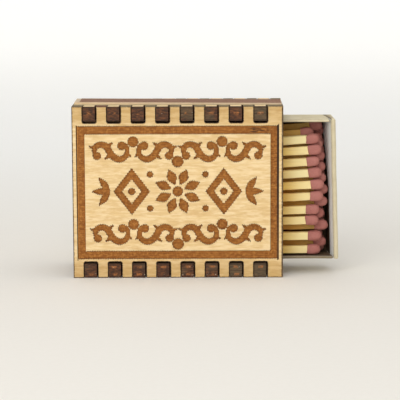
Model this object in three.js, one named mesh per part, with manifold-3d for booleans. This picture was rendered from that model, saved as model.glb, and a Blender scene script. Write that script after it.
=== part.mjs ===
// A laser-cut plywood matchbox. The sleeve is four finger-jointed panels, open
// at both ends, with an engraved face and a striker strip on its top edge. A
// folded card drawer full of matches slides in it. The box stands on its long
// narrow side: the engraved face looks along -Y, the drawer comes out along +X,
// and +Z is up. The origin is the centre of the sleeve's underside. All sizes
// are in millimetres.

import * as THREE from "three";
import { mergeVertices } from "three/addons/utils/BufferGeometryUtils.js";
import Module from "manifold-3d";

// Sleeve
const SLEEVE_LENGTH = 54;
const SLEEVE_HEIGHT = 44.4;
const SLEEVE_DEPTH = 20.8;
const PLY_THICKNESS = 3.75;

// Finger joints along both long edges of the engraved and the plain panel
const NOTCH_WIDTH = 3.6;
const FINGER_WIDTH = 2.65;
const FIRST_FINGER_WIDTH = 2.7;
const JOINT_GAP = 0.25;
const ROOT_GAP = 0.5;
const NOTCH_CORNER_RADIUS = 0.3;
const NOTCH_CORNER_STEPS = 2;

// Engraving on the front panel
const ENGRAVING_DEPTH = 0.35;
const FRAME_BAND = 2.15;
const FRAME_SIDE_INSET = 1.05;
const FRAME_NOTCH_MARGIN = 0.7;
const ORNAMENT_WIDTH = 47.6;
const ORNAMENT_HEIGHT = 30.2;
const CUTTER_OVERSHOOT = 1;

// Striker strip, glued a little askew on the top panel
const STRIP_FRONT_MARGIN = 6.35;
const STRIP_BACK_MARGIN = 5.05;
const STRIP_CARD_THICKNESS = 0.36;
const STRIP_COAT_THICKNESS = 0.06;
const STRIP_SKEW = THREE.MathUtils.degToRad(-4.3);
const STRIP_END_INSET = 0.2;
const STRIP_BARE_END = 1.3;
const STRIP_COAT_EDGE = 0.15;

// Drawer
const DRAWER_LENGTH = 50;
const DRAWER_PULL = 13.3;
const SIDE_CLEARANCE = 0.2;
const FACE_CLEARANCE = 0.7;
const CARD_THICKNESS = 0.45;
const SIDE_WALL = 0.6;
const END_WALL = 1.15;
const END_FLARE_LOW = THREE.MathUtils.degToRad(7.2);
const END_FLARE_HIGH = THREE.MathUtils.degToRad(2.3);
const CORNER_SLIT = 0.35;
const RIM_STEPS = 4;

// Matches
const MATCH_PLAY = 4.7;
const SPLINT_SIDE = 2.05;
const HEAD_DIAMETER = 2.75;
const HEAD_LENGTH = 3.5;
const HEAD_SEGMENTS = 8;
const SPLINT_IN_HEAD = 1.2;
const SIDE_GAP = 0.2;
const LAYER_GAP = 0.05;
const LOOSE_GAP = 0.15;
const RIM_FREE = 0.9;
const TAIL_FAN = 0.3;
const TOP_ROW_SHORT = 1;
const MATCH_SEED = 20;
const LOWER_DRIFT = 0.16;

// How far each head stands back from the drawer's end, as a share of the play
// along the drawer, from the lowest match up: the top row, the one behind it,
// and the rows below.
const ROW_BACKS = [
  [0.44, 0.38, 0.55, 0.5, 0.29, 0.25, 0.38, 0.5, 0.4, 0.5],
  [0.1, 0.02, 0.2, 0.04, 0.02, 0.12, 0.14, 0.18, 0.3, 0.8],
  [0.22, 0.28, 0.2, 0.3, 0.24, 0.2, 0.3, 0.26, 0.22, 0.34, 0.3],
];
// How far each head lies above its regular place, as a share of the pitch, in
// the same rows
const ROW_RISES = [
  [0, 0.13, 0.42, 0.29, 0.38, 0.33, 0.29, 0.2, 0.2, 0.08],
  [0.5, 0.9, 0.87, 0.84, 0.82, 0.75, 0.67, 0.6, 0.55, 0.5],
  [0],
  [0.5],
];

const notchPitch = NOTCH_WIDTH + FINGER_WIDTH;
const notchDepth = PLY_THICKNESS + ROOT_GAP;
const notchCount = Math.floor((SLEEVE_LENGTH - FIRST_FINGER_WIDTH) / notchPitch);
const tabWidth = NOTCH_WIDTH - 2 * JOINT_GAP;
const tunnelDepth = SLEEVE_DEPTH - 2 * PLY_THICKNESS;
const tunnelHeight = SLEEVE_HEIGHT - 2 * PLY_THICKNESS;

const frameEdgeInset = notchDepth + FRAME_NOTCH_MARGIN;
const frameWidth = SLEEVE_LENGTH - 2 * FRAME_SIDE_INSET;
const frameHeight = SLEEVE_HEIGHT - 2 * frameEdgeInset;
const fieldWidth = frameWidth - 2 * FRAME_BAND;
const fieldHeight = frameHeight - 2 * FRAME_BAND;
const ornamentScale = Math.min(fieldWidth / ORNAMENT_WIDTH, fieldHeight / ORNAMENT_HEIGHT);

const stripWidth = SLEEVE_DEPTH - STRIP_FRONT_MARGIN - STRIP_BACK_MARGIN;

const trayWidth = tunnelHeight - 2 * SIDE_CLEARANCE;
const trayHeight = tunnelDepth - 2 * FACE_CLEARANCE;
const drawerCentreX = SLEEVE_LENGTH / 2 + DRAWER_PULL - DRAWER_LENGTH / 2;
const matchBayWidth = trayWidth - 2 * SIDE_WALL;
const matchLength = DRAWER_LENGTH - 2 * END_WALL - MATCH_PLAY;

const wasm = await Module();
wasm.setup();

function toSolid(geometry) {
  const bare = geometry.clone();
  bare.deleteAttribute("normal");
  bare.deleteAttribute("uv");
  const merged = mergeVertices(bare, 1e-5);
  return new wasm.Manifold(new wasm.Mesh({
    numProp: 3,
    vertProperties: merged.attributes.position.array,
    triVerts: Uint32Array.from(merged.index.array),
  }));
}

function toGeometry(solid) {
  const mesh = solid.getMesh();
  const geometry = new THREE.BufferGeometry();
  geometry.setAttribute("position", new THREE.BufferAttribute(mesh.vertProperties, 3));
  geometry.setIndex(new THREE.BufferAttribute(mesh.triVerts, 1));
  geometry.computeVertexNormals();
  return geometry;
}

function joined(solids) {
  return solids.reduce((whole, solid) => whole.add(solid));
}

function material(color, roughness) {
  return new THREE.MeshStandardMaterial({ color, roughness, metalness: 0 });
}

function namedMesh(name, geometry, meshMaterial) {
  const mesh = new THREE.Mesh(geometry, meshMaterial);
  mesh.name = name;
  return mesh;
}

function mulberry(seed) {
  let state = seed;
  return () => {
    state = (state + 0x6d2b79f5) | 0;
    let t = Math.imul(state ^ (state >>> 15), 1 | state);
    t = (t + Math.imul(t ^ (t >>> 7), 61 | t)) ^ t;
    return ((t ^ (t >>> 14)) >>> 0) / 4294967296;
  };
}

function notchStart(index) {
  return -SLEEVE_LENGTH / 2 + FIRST_FINGER_WIDTH + index * notchPitch;
}

// One edge of a comb-cut panel, walked from left to right. Notches go inward,
// and their inner corners are round, as a laser leaves them.
function combEdge(shape, edge, inward) {
  const floor = edge + inward * notchDepth;
  const shoulder = floor - inward * NOTCH_CORNER_RADIUS;
  for (let i = 0; i < notchCount; i += 1) {
    const left = notchStart(i);
    const right = left + NOTCH_WIDTH;
    shape.lineTo(left, edge);
    shape.lineTo(left, shoulder);
    shape.quadraticCurveTo(left, floor, left + NOTCH_CORNER_RADIUS, floor);
    shape.lineTo(right - NOTCH_CORNER_RADIUS, floor);
    shape.quadraticCurveTo(right, floor, right, shoulder);
    shape.lineTo(right, edge);
  }
}

// The same edge walked from right to left.
function combEdgeBack(shape, edge, inward) {
  const floor = edge + inward * notchDepth;
  const shoulder = floor - inward * NOTCH_CORNER_RADIUS;
  for (let i = notchCount - 1; i >= 0; i -= 1) {
    const left = notchStart(i);
    const right = left + NOTCH_WIDTH;
    shape.lineTo(right, edge);
    shape.lineTo(right, shoulder);
    shape.quadraticCurveTo(right, floor, right - NOTCH_CORNER_RADIUS, floor);
    shape.lineTo(left + NOTCH_CORNER_RADIUS, floor);
    shape.quadraticCurveTo(left, floor, left, shoulder);
    shape.lineTo(left, edge);
  }
}

// A wide panel, upright, its outer face at y = -PLY_THICKNESS.
function widePanelGeometry() {
  const half = SLEEVE_LENGTH / 2;
  const shape = new THREE.Shape();
  shape.moveTo(-half, 0);
  combEdge(shape, 0, 1);
  shape.lineTo(half, 0);
  shape.lineTo(half, SLEEVE_HEIGHT);
  combEdgeBack(shape, SLEEVE_HEIGHT, -1);
  shape.lineTo(-half, SLEEVE_HEIGHT);
  shape.closePath();
  const geometry = new THREE.ExtrudeGeometry(shape, {
    depth: PLY_THICKNESS,
    bevelEnabled: false,
    curveSegments: NOTCH_CORNER_STEPS,
  });
  return geometry.rotateX(Math.PI / 2);
}

// A narrow panel, flat, with tabs that fill the wide panels' notches. The tabs
// on the back edge are the front ones turned end for end.
function narrowPanelGeometry() {
  const half = SLEEVE_LENGTH / 2;
  const edge = tunnelDepth / 2;
  const tip = edge + PLY_THICKNESS;
  const shape = new THREE.Shape();
  shape.moveTo(-half, -edge);
  for (let i = 0; i < notchCount; i += 1) {
    const left = notchStart(i) + JOINT_GAP;
    shape.lineTo(left, -edge);
    shape.lineTo(left, -tip);
    shape.lineTo(left + tabWidth, -tip);
    shape.lineTo(left + tabWidth, -edge);
  }
  shape.lineTo(half, -edge);
  shape.lineTo(half, edge);
  for (let i = 0; i < notchCount; i += 1) {
    const right = -notchStart(i) - JOINT_GAP;
    shape.lineTo(right, edge);
    shape.lineTo(right, tip);
    shape.lineTo(right - tabWidth, tip);
    shape.lineTo(right - tabWidth, edge);
  }
  shape.lineTo(-half, edge);
  shape.closePath();
  return new THREE.ExtrudeGeometry(shape, { depth: PLY_THICKNESS, bevelEnabled: false });
}

// A brush stroke as a closed outline. Each point of its spine is a place and
// the stroke's half width there.
function strokeShape(spine, steps) {
  const curve = new THREE.CatmullRomCurve3(spine.map((point) => new THREE.Vector3(...point)));
  const left = [];
  const right = [];
  for (let i = 0; i <= steps; i += 1) {
    const point = curve.getPoint(i / steps);
    const tangent = curve.getTangent(i / steps);
    const side = new THREE.Vector2(-tangent.y, tangent.x).setLength(point.z);
    left.push(new THREE.Vector2(point.x + side.x, point.y + side.y));
    right.unshift(new THREE.Vector2(point.x - side.x, point.y - side.y));
  }
  return new THREE.Shape([...left, ...right]);
}

function discShape(x, y, radius, steps) {
  const points = [];
  for (let i = 0; i < steps; i += 1) {
    const angle = (2 * Math.PI * i) / steps;
    points.push(new THREE.Vector2(x + radius * Math.cos(angle), y + radius * Math.sin(angle)));
  }
  return new THREE.Shape(points);
}

// Half of a scroll pair, drawn to the left of its mirror line. The main stroke
// rises from a ball, arches over, sinks into a bowl and curls up to a second
// ball. Four short tapered tips spring from it.
const SCROLL_MAIN = [
  [-9.23, -2.47, 0.6], [-9.85, -1.33, 0.62], [-9.45, -0.12, 0.78], [-8.2, 0.42, 0.84],
  [-6.85, -0.05, 0.9], [-6.05, -1.33, 0.88], [-5.11, -2.62, 0.9], [-3.52, -3.38, 0.86],
  [-1.95, -2.66, 0.72], [-1.48, -1.24, 0.62], [-1.8, 0.1, 0.58], [-2.77, 0.5, 0.6],
];
const SCROLL_TIPS = [
  [[-9.5, -0.3, 0.6], [-10.6, -0.25, 0.36], [-11.3, 0.05, 0.14]],
  [[-6.5, -0.3, 0.6], [-5.75, 0.5, 0.38], [-5.15, 0.95, 0.16]],
  [[-5.8, -2.2, 0.65], [-6.6, -2.85, 0.4], [-7.3, -3.35, 0.14]],
  [[-1.6, -1.7, 0.6], [-1, -2.3, 0.36], [-0.45, -2.75, 0.14]],
];
const SCROLL_BALLS = [[-9.23, -2.47, 1.07], [-2.87, 0.1, 1.13]];
const SCROLL_CROWN_BALL = [0, 1.14, 1.42];
const SCROLL_CENTRE_BALL = [0, -3.99, 1.5];
const SCROLL_PAIR_OFFSET = 11.4;
const SCROLL_ROWS = [12.05, -9.35];
const STROKE_STEPS = 28;
const TIP_STEPS = 4;
const DISC_STEPS = 14;

function scrollHalf(side, centre, level) {
  const place = ([x, y, half]) => [centre + side * x, level + y, half];
  const shapes = [strokeShape(SCROLL_MAIN.map(place), STROKE_STEPS)];
  SCROLL_TIPS.forEach((tip) => shapes.push(strokeShape(tip.map(place), TIP_STEPS)));
  SCROLL_BALLS.map(place).forEach((ball) => shapes.push(discShape(...ball, DISC_STEPS)));
  return shapes;
}

function scrollRow(level) {
  const shapes = [];
  [-SCROLL_PAIR_OFFSET, SCROLL_PAIR_OFFSET].forEach((centre) => {
    shapes.push(...scrollHalf(1, centre, level), ...scrollHalf(-1, centre, level));
    const [x, y, radius] = SCROLL_CROWN_BALL;
    shapes.push(discShape(centre + x, level + y, radius, DISC_STEPS));
  });
  const [x, y, radius] = SCROLL_CENTRE_BALL;
  shapes.push(discShape(x, level + y, radius, DISC_STEPS));
  return shapes;
}

// The plain ornament between the scroll rows: a rosette between two pierced
// lozenges, closed by a pair of leaf fans.
const MOTIF_LEVEL = 0.35;
const ROSETTE_PETALS = 8;
const ROSETTE_RADIUS = 6.1;
const PETAL_START = 1.9;
const PETAL_HALF_WIDTH = 1.25;
const ROSETTE_CORE = 1.35;
const PETAL_STEPS = 8;
const LOZENGE_OFFSET = 11.8;
const LOZENGE_HALF_WIDTH = 4.7;
const LOZENGE_HALF_HEIGHT = 6.1;
const LOZENGE_HOLE = 0.52;
const LOZENGE_DOT = 0.95;
const FAN_OFFSET = 17.4;
const FAN_LEAF = 4.6;
const FAN_ANGLES = [-52, 0, 52];
const SPACER_OFFSET = 7.1;
const SPACER_LEVEL = 4.4;
const SPACER_RADIUS = 0.85;

function petalShape(x, y, angle, start, end, half) {
  const along = new THREE.Vector2(Math.cos(angle), Math.sin(angle));
  const at = (distance, width) => [x + along.x * distance, y + along.y * distance, width];
  const middle = (start + end) / 2;
  return strokeShape([at(start, 0.2), at(middle, half), at(end, 0.12)], PETAL_STEPS);
}

function lozengeShape(x, y) {
  const corners = (share) => [
    new THREE.Vector2(x + LOZENGE_HALF_WIDTH * share, y),
    new THREE.Vector2(x, y + LOZENGE_HALF_HEIGHT * share),
    new THREE.Vector2(x - LOZENGE_HALF_WIDTH * share, y),
    new THREE.Vector2(x, y - LOZENGE_HALF_HEIGHT * share),
  ];
  const shape = new THREE.Shape(corners(1));
  shape.holes.push(new THREE.Path(corners(LOZENGE_HOLE)));
  return shape;
}

function motifShapes() {
  const shapes = [discShape(0, MOTIF_LEVEL, ROSETTE_CORE, DISC_STEPS)];
  for (let i = 0; i < ROSETTE_PETALS; i += 1) {
    const angle = (2 * Math.PI * (i + 0.5)) / ROSETTE_PETALS;
    shapes.push(petalShape(0, MOTIF_LEVEL, angle, PETAL_START, ROSETTE_RADIUS, PETAL_HALF_WIDTH));
  }
  [-1, 1].forEach((side) => {
    shapes.push(lozengeShape(side * LOZENGE_OFFSET, MOTIF_LEVEL));
    shapes.push(discShape(side * LOZENGE_OFFSET, MOTIF_LEVEL, LOZENGE_DOT, DISC_STEPS));
    FAN_ANGLES.forEach((degrees) => {
      const angle = (side > 0 ? 0 : Math.PI) + THREE.MathUtils.degToRad(degrees);
      const x = side * FAN_OFFSET;
      shapes.push(petalShape(x, MOTIF_LEVEL, angle, 0, FAN_LEAF, PETAL_HALF_WIDTH * 0.72));
    });
    [-SPACER_LEVEL, SPACER_LEVEL].forEach((level) => {
      shapes.push(discShape(side * SPACER_OFFSET, MOTIF_LEVEL + level, SPACER_RADIUS, DISC_STEPS));
    });
  });
  return shapes;
}

function rectangle(width, height) {
  return [
    new THREE.Vector2(-width / 2, -height / 2),
    new THREE.Vector2(width / 2, -height / 2),
    new THREE.Vector2(width / 2, height / 2),
    new THREE.Vector2(-width / 2, height / 2),
  ];
}

// Everything that is burnt out of the front face, as one cutter. It stands
// upright in the panel's own frame, centred on the face.
function engravingCutter() {
  const frame = new THREE.Shape(rectangle(frameWidth, frameHeight));
  frame.holes.push(new THREE.Path(rectangle(fieldWidth, fieldHeight)));
  const depth = ENGRAVING_DEPTH + CUTTER_OVERSHOOT;
  const raise = (shape, scale) => {
    const geometry = new THREE.ExtrudeGeometry(shape, { depth, bevelEnabled: false });
    geometry.scale(scale, scale, 1);
    geometry.rotateX(Math.PI / 2);
    geometry.translate(0, ENGRAVING_DEPTH - PLY_THICKNESS, SLEEVE_HEIGHT / 2);
    return toSolid(geometry);
  };
  const ornament = [...SCROLL_ROWS.flatMap(scrollRow), ...motifShapes()];
  const cutters = ornament.map((shape) => raise(shape, ornamentScale));
  return joined([raise(frame, 1), ...cutters]);
}

function stripOutline(halfWidth, leftX, rightX) {
  const slope = Math.tan(STRIP_SKEW);
  const reach = halfWidth / Math.cos(STRIP_SKEW);
  return new THREE.Shape([
    new THREE.Vector2(leftX, slope * leftX - reach),
    new THREE.Vector2(rightX, slope * rightX - reach),
    new THREE.Vector2(rightX, slope * rightX + reach),
    new THREE.Vector2(leftX, slope * leftX + reach),
  ]);
}

// The card strip with its abrasive coat, which stops short of the left end.
function stripGeometry() {
  const end = SLEEVE_LENGTH / 2 - STRIP_END_INSET;
  const card = new THREE.ExtrudeGeometry(stripOutline(stripWidth / 2, -end, end), {
    depth: STRIP_CARD_THICKNESS,
    bevelEnabled: false,
  });
  const coatHalf = stripWidth / 2 - STRIP_COAT_EDGE;
  const coatOutline = stripOutline(coatHalf, STRIP_BARE_END - end, end - STRIP_COAT_EDGE);
  const coat = new THREE.ExtrudeGeometry(coatOutline, {
    depth: STRIP_CARD_THICKNESS / 2 + STRIP_COAT_THICKNESS,
    bevelEnabled: false,
  });
  coat.translate(0, 0, STRIP_CARD_THICKNESS / 2);
  return toGeometry(toSolid(card).add(toSolid(coat)));
}

// A card wall, upright from the floor, with the fold rounded over at its rim.
// Its outer face is at x = 0.
function wallGeometry(thickness, length) {
  const radius = thickness / 2;
  const section = new THREE.Shape();
  section.moveTo(0, 0);
  section.absarc(-radius, trayHeight - radius, radius, 0, Math.PI, false);
  section.lineTo(-thickness, 0);
  section.closePath();
  const geometry = new THREE.ExtrudeGeometry(section, {
    depth: length,
    bevelEnabled: false,
    curveSegments: RIM_STEPS,
  });
  geometry.translate(0, 0, -length / 2);
  return geometry;
}

// Leans an end wall outward. The lean changes evenly from its low end, which
// stands farther out, to its high end.
function flared(geometry) {
  const place = geometry.attributes.position;
  for (let i = 0; i < place.count; i += 1) {
    const share = 0.5 + place.getZ(i) / trayWidth;
    const drift = THREE.MathUtils.lerp(Math.tan(END_FLARE_HIGH), Math.tan(END_FLARE_LOW), share);
    place.setX(i, place.getX(i) + drift * place.getY(i));
  }
  return geometry;
}

// The drawer: one folded sheet. The floor lies at the back, its long walls are
// level, and its end walls lean outward past a slit at each corner.
function trayGeometry() {
  const floor = new THREE.BoxGeometry(DRAWER_LENGTH, CARD_THICKNESS, trayWidth);
  floor.translate(0, (trayHeight - CARD_THICKNESS) / 2, 0);
  const solids = [toSolid(floor)];
  const longWall = DRAWER_LENGTH - 2 * (END_WALL + CORNER_SLIT);
  [0, Math.PI].forEach((turn) => {
    const end = flared(wallGeometry(END_WALL, trayWidth));
    end.rotateX(Math.PI).translate(DRAWER_LENGTH / 2, trayHeight / 2, 0);
    const side = wallGeometry(SIDE_WALL, longWall);
    side.rotateX(Math.PI).rotateY(-Math.PI / 2).translate(0, trayHeight / 2, trayWidth / 2);
    if (turn > 0) {
      end.rotateZ(Math.PI).rotateX(Math.PI);
      side.rotateY(Math.PI);
    }
    solids.push(toSolid(end), toSolid(side));
  });
  return toGeometry(joined(solids));
}

// A match lies along +X with its tail at the origin: a square splint in a
// dipped head, fuller toward its round end.
function matchGeometry() {
  const start = matchLength - HEAD_LENGTH;
  const splintLength = start + SPLINT_IN_HEAD;
  const splint = new THREE.BoxGeometry(splintLength, SPLINT_SIDE, SPLINT_SIDE);
  splint.translate(splintLength / 2, 0, 0);
  const radius = HEAD_DIAMETER / 2;
  const profile = [
    [0, 0], [0.8, 0], [0.95, 0.12], [1, 0.45], [0.96, 0.7], [0.72, 0.9], [0.38, 0.985], [0, 1],
  ].map(([r, along]) => new THREE.Vector2(r * radius, along * HEAD_LENGTH));
  const head = new THREE.LatheGeometry(profile, HEAD_SEGMENTS);
  head.rotateZ(-Math.PI / 2).translate(start, 0, 0);
  return toGeometry(toSolid(splint).add(toSolid(head)));
}

// The least distance from front to back between two matches in neighbouring
// rows whose centres are offset sideways by a distance.
function stackedDistance(offset) {
  const clear = Math.max(HEAD_DIAMETER, SPLINT_SIDE) + LAYER_GAP;
  if (offset >= clear) return 0;
  return Math.max(SPLINT_SIDE + LAYER_GAP, Math.sqrt(clear ** 2 - offset ** 2));
}

// Where the matches lie in the drawer's frame. Rows are stacked from the floor
// forward, each match as far back as those behind it let it sink. The heads are
// thicker than the splints, so a row fans out toward its heads.
function matchPlaces() {
  const girth = Math.max(HEAD_DIAMETER, SPLINT_SIDE);
  const span = matchBayWidth - 2 * LOOSE_GAP - girth;
  const pitches = Math.floor(span / (girth + SIDE_GAP));
  const headPitch = span / pitches;
  const tailPitch = headPitch - TAIL_FAN;
  const headZ = -span / 2;
  const tailZ = headZ - (girth - SPLINT_SIDE) / 2;
  const backRowY = trayHeight / 2 - CARD_THICKNESS - LOOSE_GAP - girth / 2;
  const bayDepth = trayHeight - CARD_THICKNESS - LOOSE_GAP - RIM_FREE;
  const rows = 1 + Math.floor((bayDepth - girth) / stackedDistance(headPitch / 2));
  const bayEnd = DRAWER_LENGTH / 2 - END_WALL;
  const random = mulberry(MATCH_SEED);
  const places = [];
  let behind = [];
  for (let row = rows - 1; row >= 0; row -= 1) {
    const rises = ROW_RISES[row % ROW_RISES.length];
    const backs = ROW_BACKS[Math.min(row, ROW_BACKS.length - 1)];
    const short = row === 0 ? TOP_ROW_SHORT : Math.ceil(rises[0]);
    const own = [];
    for (let i = 0; i <= pitches - short; i += 1) {
      const rise = i + rises[Math.min(i, rises.length - 1)];
      const drift = row > 1 ? LOWER_DRIFT * random() : 0;
      const z = headZ + rise * headPitch;
      const stops = behind.map((other) => other.y - stackedDistance(Math.abs(other.headZ - z)));
      own.push({
        tip: bayEnd - (backs[i % backs.length] - drift) * MATCH_PLAY,
        y: Math.min(backRowY, ...stops),
        headZ: z,
        tailZ: tailZ + rise * tailPitch,
      });
    }
    places.push(...own);
    behind = own;
  }
  return places;
}

const plyMaterial = material(0xe6c894, 0.62);
const engravedMaterial = material(0xdcb987, 0.65);
const stripMaterial = material(0x96705f, 0.85);
const cardMaterial = material(0xd8d2bd, 0.8);
const matchMaterial = material(0xe3cf96, 0.7);

function sleeveGroup() {
  const sleeve = new THREE.Group();
  const faceY = SLEEVE_DEPTH / 2 - PLY_THICKNESS;
  const engraved = toGeometry(toSolid(widePanelGeometry()).subtract(engravingCutter()));
  const front = namedMesh("front_panel", engraved, engravedMaterial);
  front.position.set(0, -faceY, 0);
  const back = namedMesh("back_panel", widePanelGeometry(), plyMaterial);
  back.rotation.z = Math.PI;
  back.position.set(0, faceY, 0);
  const bottom = namedMesh("bottom_panel", narrowPanelGeometry(), plyMaterial);
  const top = namedMesh("top_panel", narrowPanelGeometry(), plyMaterial);
  top.position.set(0, 0, SLEEVE_HEIGHT - PLY_THICKNESS);
  const strip = namedMesh("striker_strip", stripGeometry(), stripMaterial);
  strip.position.set(0, (STRIP_FRONT_MARGIN - STRIP_BACK_MARGIN) / 2, SLEEVE_HEIGHT);
  sleeve.add(front, back, bottom, top, strip);
  return sleeve;
}

function drawerGroup() {
  const drawer = new THREE.Group();
  drawer.position.set(drawerCentreX, 0, SLEEVE_HEIGHT / 2);
  drawer.add(namedMesh("drawer_tray", trayGeometry(), cardMaterial));
  const geometry = matchGeometry();
  matchPlaces().forEach((place, index) => {
    const name = `match_${String(index + 1).padStart(2, "0")}`;
    const match = namedMesh(name, geometry, matchMaterial);
    match.rotation.y = -Math.atan2(place.headZ - place.tailZ, matchLength - HEAD_LENGTH / 2);
    match.position.set(place.tip - matchLength, place.y, place.tailZ);
    drawer.add(match);
  });
  return drawer;
}

const group = new THREE.Group();
group.add(sleeveGroup(), drawerGroup());

export default group;
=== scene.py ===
"""A plywood matchbox with a card drawer of matches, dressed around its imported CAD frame.

The box stands on its long narrow side, as in the photograph: the engraved face looks along -Y,
the drawer comes out along +X and +Z is up. Shapes are worked out in millimetres in the CAD's own
frame, and a piece is scaled to metres when its mesh is made.
"""

import logging
import math
import random
from collections.abc import Callable, Iterable, Sequence
from dataclasses import dataclass, field
from enum import Enum, IntEnum
from functools import reduce

import bpy
import bmesh
from mathutils import Matrix, Vector, kdtree, noise
from mathutils.geometry import delaunay_2d_cdt


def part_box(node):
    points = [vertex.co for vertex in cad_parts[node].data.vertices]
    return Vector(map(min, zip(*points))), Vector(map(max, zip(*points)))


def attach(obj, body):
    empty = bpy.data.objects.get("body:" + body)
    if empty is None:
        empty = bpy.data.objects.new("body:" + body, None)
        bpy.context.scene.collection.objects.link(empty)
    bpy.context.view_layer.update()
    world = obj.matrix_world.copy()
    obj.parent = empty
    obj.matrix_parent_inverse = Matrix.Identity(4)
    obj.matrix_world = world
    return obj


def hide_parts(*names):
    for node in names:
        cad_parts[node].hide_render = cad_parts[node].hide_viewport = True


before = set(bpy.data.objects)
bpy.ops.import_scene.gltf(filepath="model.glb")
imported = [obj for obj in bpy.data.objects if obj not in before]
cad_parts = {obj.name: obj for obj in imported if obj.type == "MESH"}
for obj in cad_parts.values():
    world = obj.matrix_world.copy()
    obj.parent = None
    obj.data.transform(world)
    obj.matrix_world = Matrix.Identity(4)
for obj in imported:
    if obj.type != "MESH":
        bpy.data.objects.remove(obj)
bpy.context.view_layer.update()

LOG = logging.getLogger("matchbox")
MM = 0.001
PER_MM = 1000.0
NOWHERE = 1000.0  # beyond any place on the object, in millimetres
TOUCH = 1e-5  # flat points this near count as one

Flat = tuple[float, float]
Solid = tuple[float, float, float]
Place = Callable[[float, float, float], Solid]
Socket = bpy.types.NodeSocket
Material = bpy.types.Material
Piece = bpy.types.Object


class Body(Enum):
    """The CAD bodies that a piece can ride on."""

    SLEEVE = "sleeve"
    DRAWER = "drawer"


class Plank(IntEnum):
    """The finishes of a plywood panel, in the order of its material list."""

    FACE = 0
    CUT = 1
    ENGRAVED = 2


class Strip(IntEnum):
    """The finishes of the striker strip, in the order of its material list."""

    CARD = 0
    COAT = 1


@dataclass(frozen=True)
class Tone:
    """A colour in linear light."""

    red: float  # share of red
    green: float  # share of green
    blue: float  # share of blue

    def rgba(self) -> tuple[float, float, float, float]:
        """Returns: The colour with full opacity, as a socket takes it."""
        return (self.red, self.green, self.blue, 1.0)


def box_mm(node: str) -> tuple[Vector, Vector]:
    """Gives a CAD node's place.

    Args:
        node: Name of the CAD node.

    Returns:
        Its lowest and its highest corner, in millimetres.
    """
    low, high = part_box(node)
    return low * PER_MM, high * PER_MM


# Node trees

Fed = Socket | Material | Tone | bool | float | str | Sequence[float]
Feeds = dict[str | int, Fed]


@dataclass
class Tree:
    """A node tree with short calls for adding nodes."""

    tree: bpy.types.NodeTree  # the tree to build in

    def add(
        self, kind: str, inputs: Feeds | None = None, **settings: bool | str | bpy.types.NodeTree
    ) -> bpy.types.Node:
        """Adds a node.

        Args:
            kind: Blender's name for the node type.
            inputs: What each input gets, by name or place.
            **settings: The node's own settings.

        Returns:
            The new node.
        """
        node = self.tree.nodes.new(kind)
        for name, value in settings.items():
            setattr(node, name, value)
        for key, value in (inputs or {}).items():
            self.feed(node.inputs[key], value)
        return node

    def feed(self, socket: Socket, value: Fed) -> None:
        """Links or sets one input.

        Args:
            socket: The input.
            value: A socket to link from, a colour or a plain value.
        """
        if isinstance(value, Socket):
            self.tree.links.new(value, socket)
        else:
            socket.default_value = value.rgba() if isinstance(value, Tone) else value

    def math(self, operation: str, *values: Fed, clamp: bool = False) -> Socket:
        """Returns: The result of a Math node on one, two or three values."""
        inputs = dict(enumerate(values))
        return self.add("ShaderNodeMath", inputs, operation=operation, use_clamp=clamp).outputs[0]

    def plus(self, first: Fed, second: Fed) -> Socket:
        """Returns: The sum of two values."""
        return self.math("ADD", first, second)

    def times(self, *values: Fed) -> Socket:
        """Returns: The product of some values."""
        return reduce(lambda first, second: self.math("MULTIPLY", first, second), values)

    def most(self, *values: Fed) -> Socket:
        """Returns: The greatest of some values."""
        return reduce(lambda first, second: self.math("MAXIMUM", first, second), values)

    def off(self, value: Fed, middle: float) -> Socket:
        """Returns: How far a value lies from a middle, either way."""
        return self.math("ABSOLUTE", self.math("SUBTRACT", value, middle))

    def stretch(self, vector: Fed, scale: Solid) -> Socket:
        """Returns: A vector times a scale for each axis."""
        node = self.add("ShaderNodeVectorMath", {0: vector, 1: scale}, operation="MULTIPLY")
        return node.outputs[0]

    def noise(self, vector: Fed, scale: Solid, detail: float = 3.0, rough: float = 0.55) -> Socket:
        """Returns: Smooth noise from 0 to 1, at a scale for each axis."""
        inputs = {"Vector": self.stretch(vector, scale), "Scale": 1.0, "Detail": detail, "Roughness": rough}
        return self.add("ShaderNodeTexNoise", inputs).outputs["Fac"]

    def between(self, value: Fed, low: float, high: float, start: float = 0.0, end: float = 1.0) -> Socket:
        """Returns: A value moved smoothly from one range to another and kept inside it."""
        inputs = {"Value": value, "From Min": low, "From Max": high, "To Min": start, "To Max": end}
        return self.add("ShaderNodeMapRange", inputs, interpolation_type="SMOOTHSTEP").outputs["Result"]

    def within(self, value: Fed, low: float, high: float, soft: float) -> Socket:
        """Returns: 1 inside a range of the value, fading to 0 at its limits."""
        return self.times(self.between(value, low, low + soft), self.between(value, high, high - soft))

    def blend(self, share: Fed, first: Fed, second: Fed, mode: str = "MIX") -> Socket:
        """Returns: Two colours mixed by a share of the second."""
        inputs = {0: share, 6: first, 7: second}
        return self.add("ShaderNodeMix", inputs, data_type="RGBA", blend_type=mode).outputs[2]

    def mark(self, name: str) -> Socket:
        """Returns: A number that the mesh carries at its points."""
        return self.add("ShaderNodeAttribute", attribute_name=name).outputs["Fac"]


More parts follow.
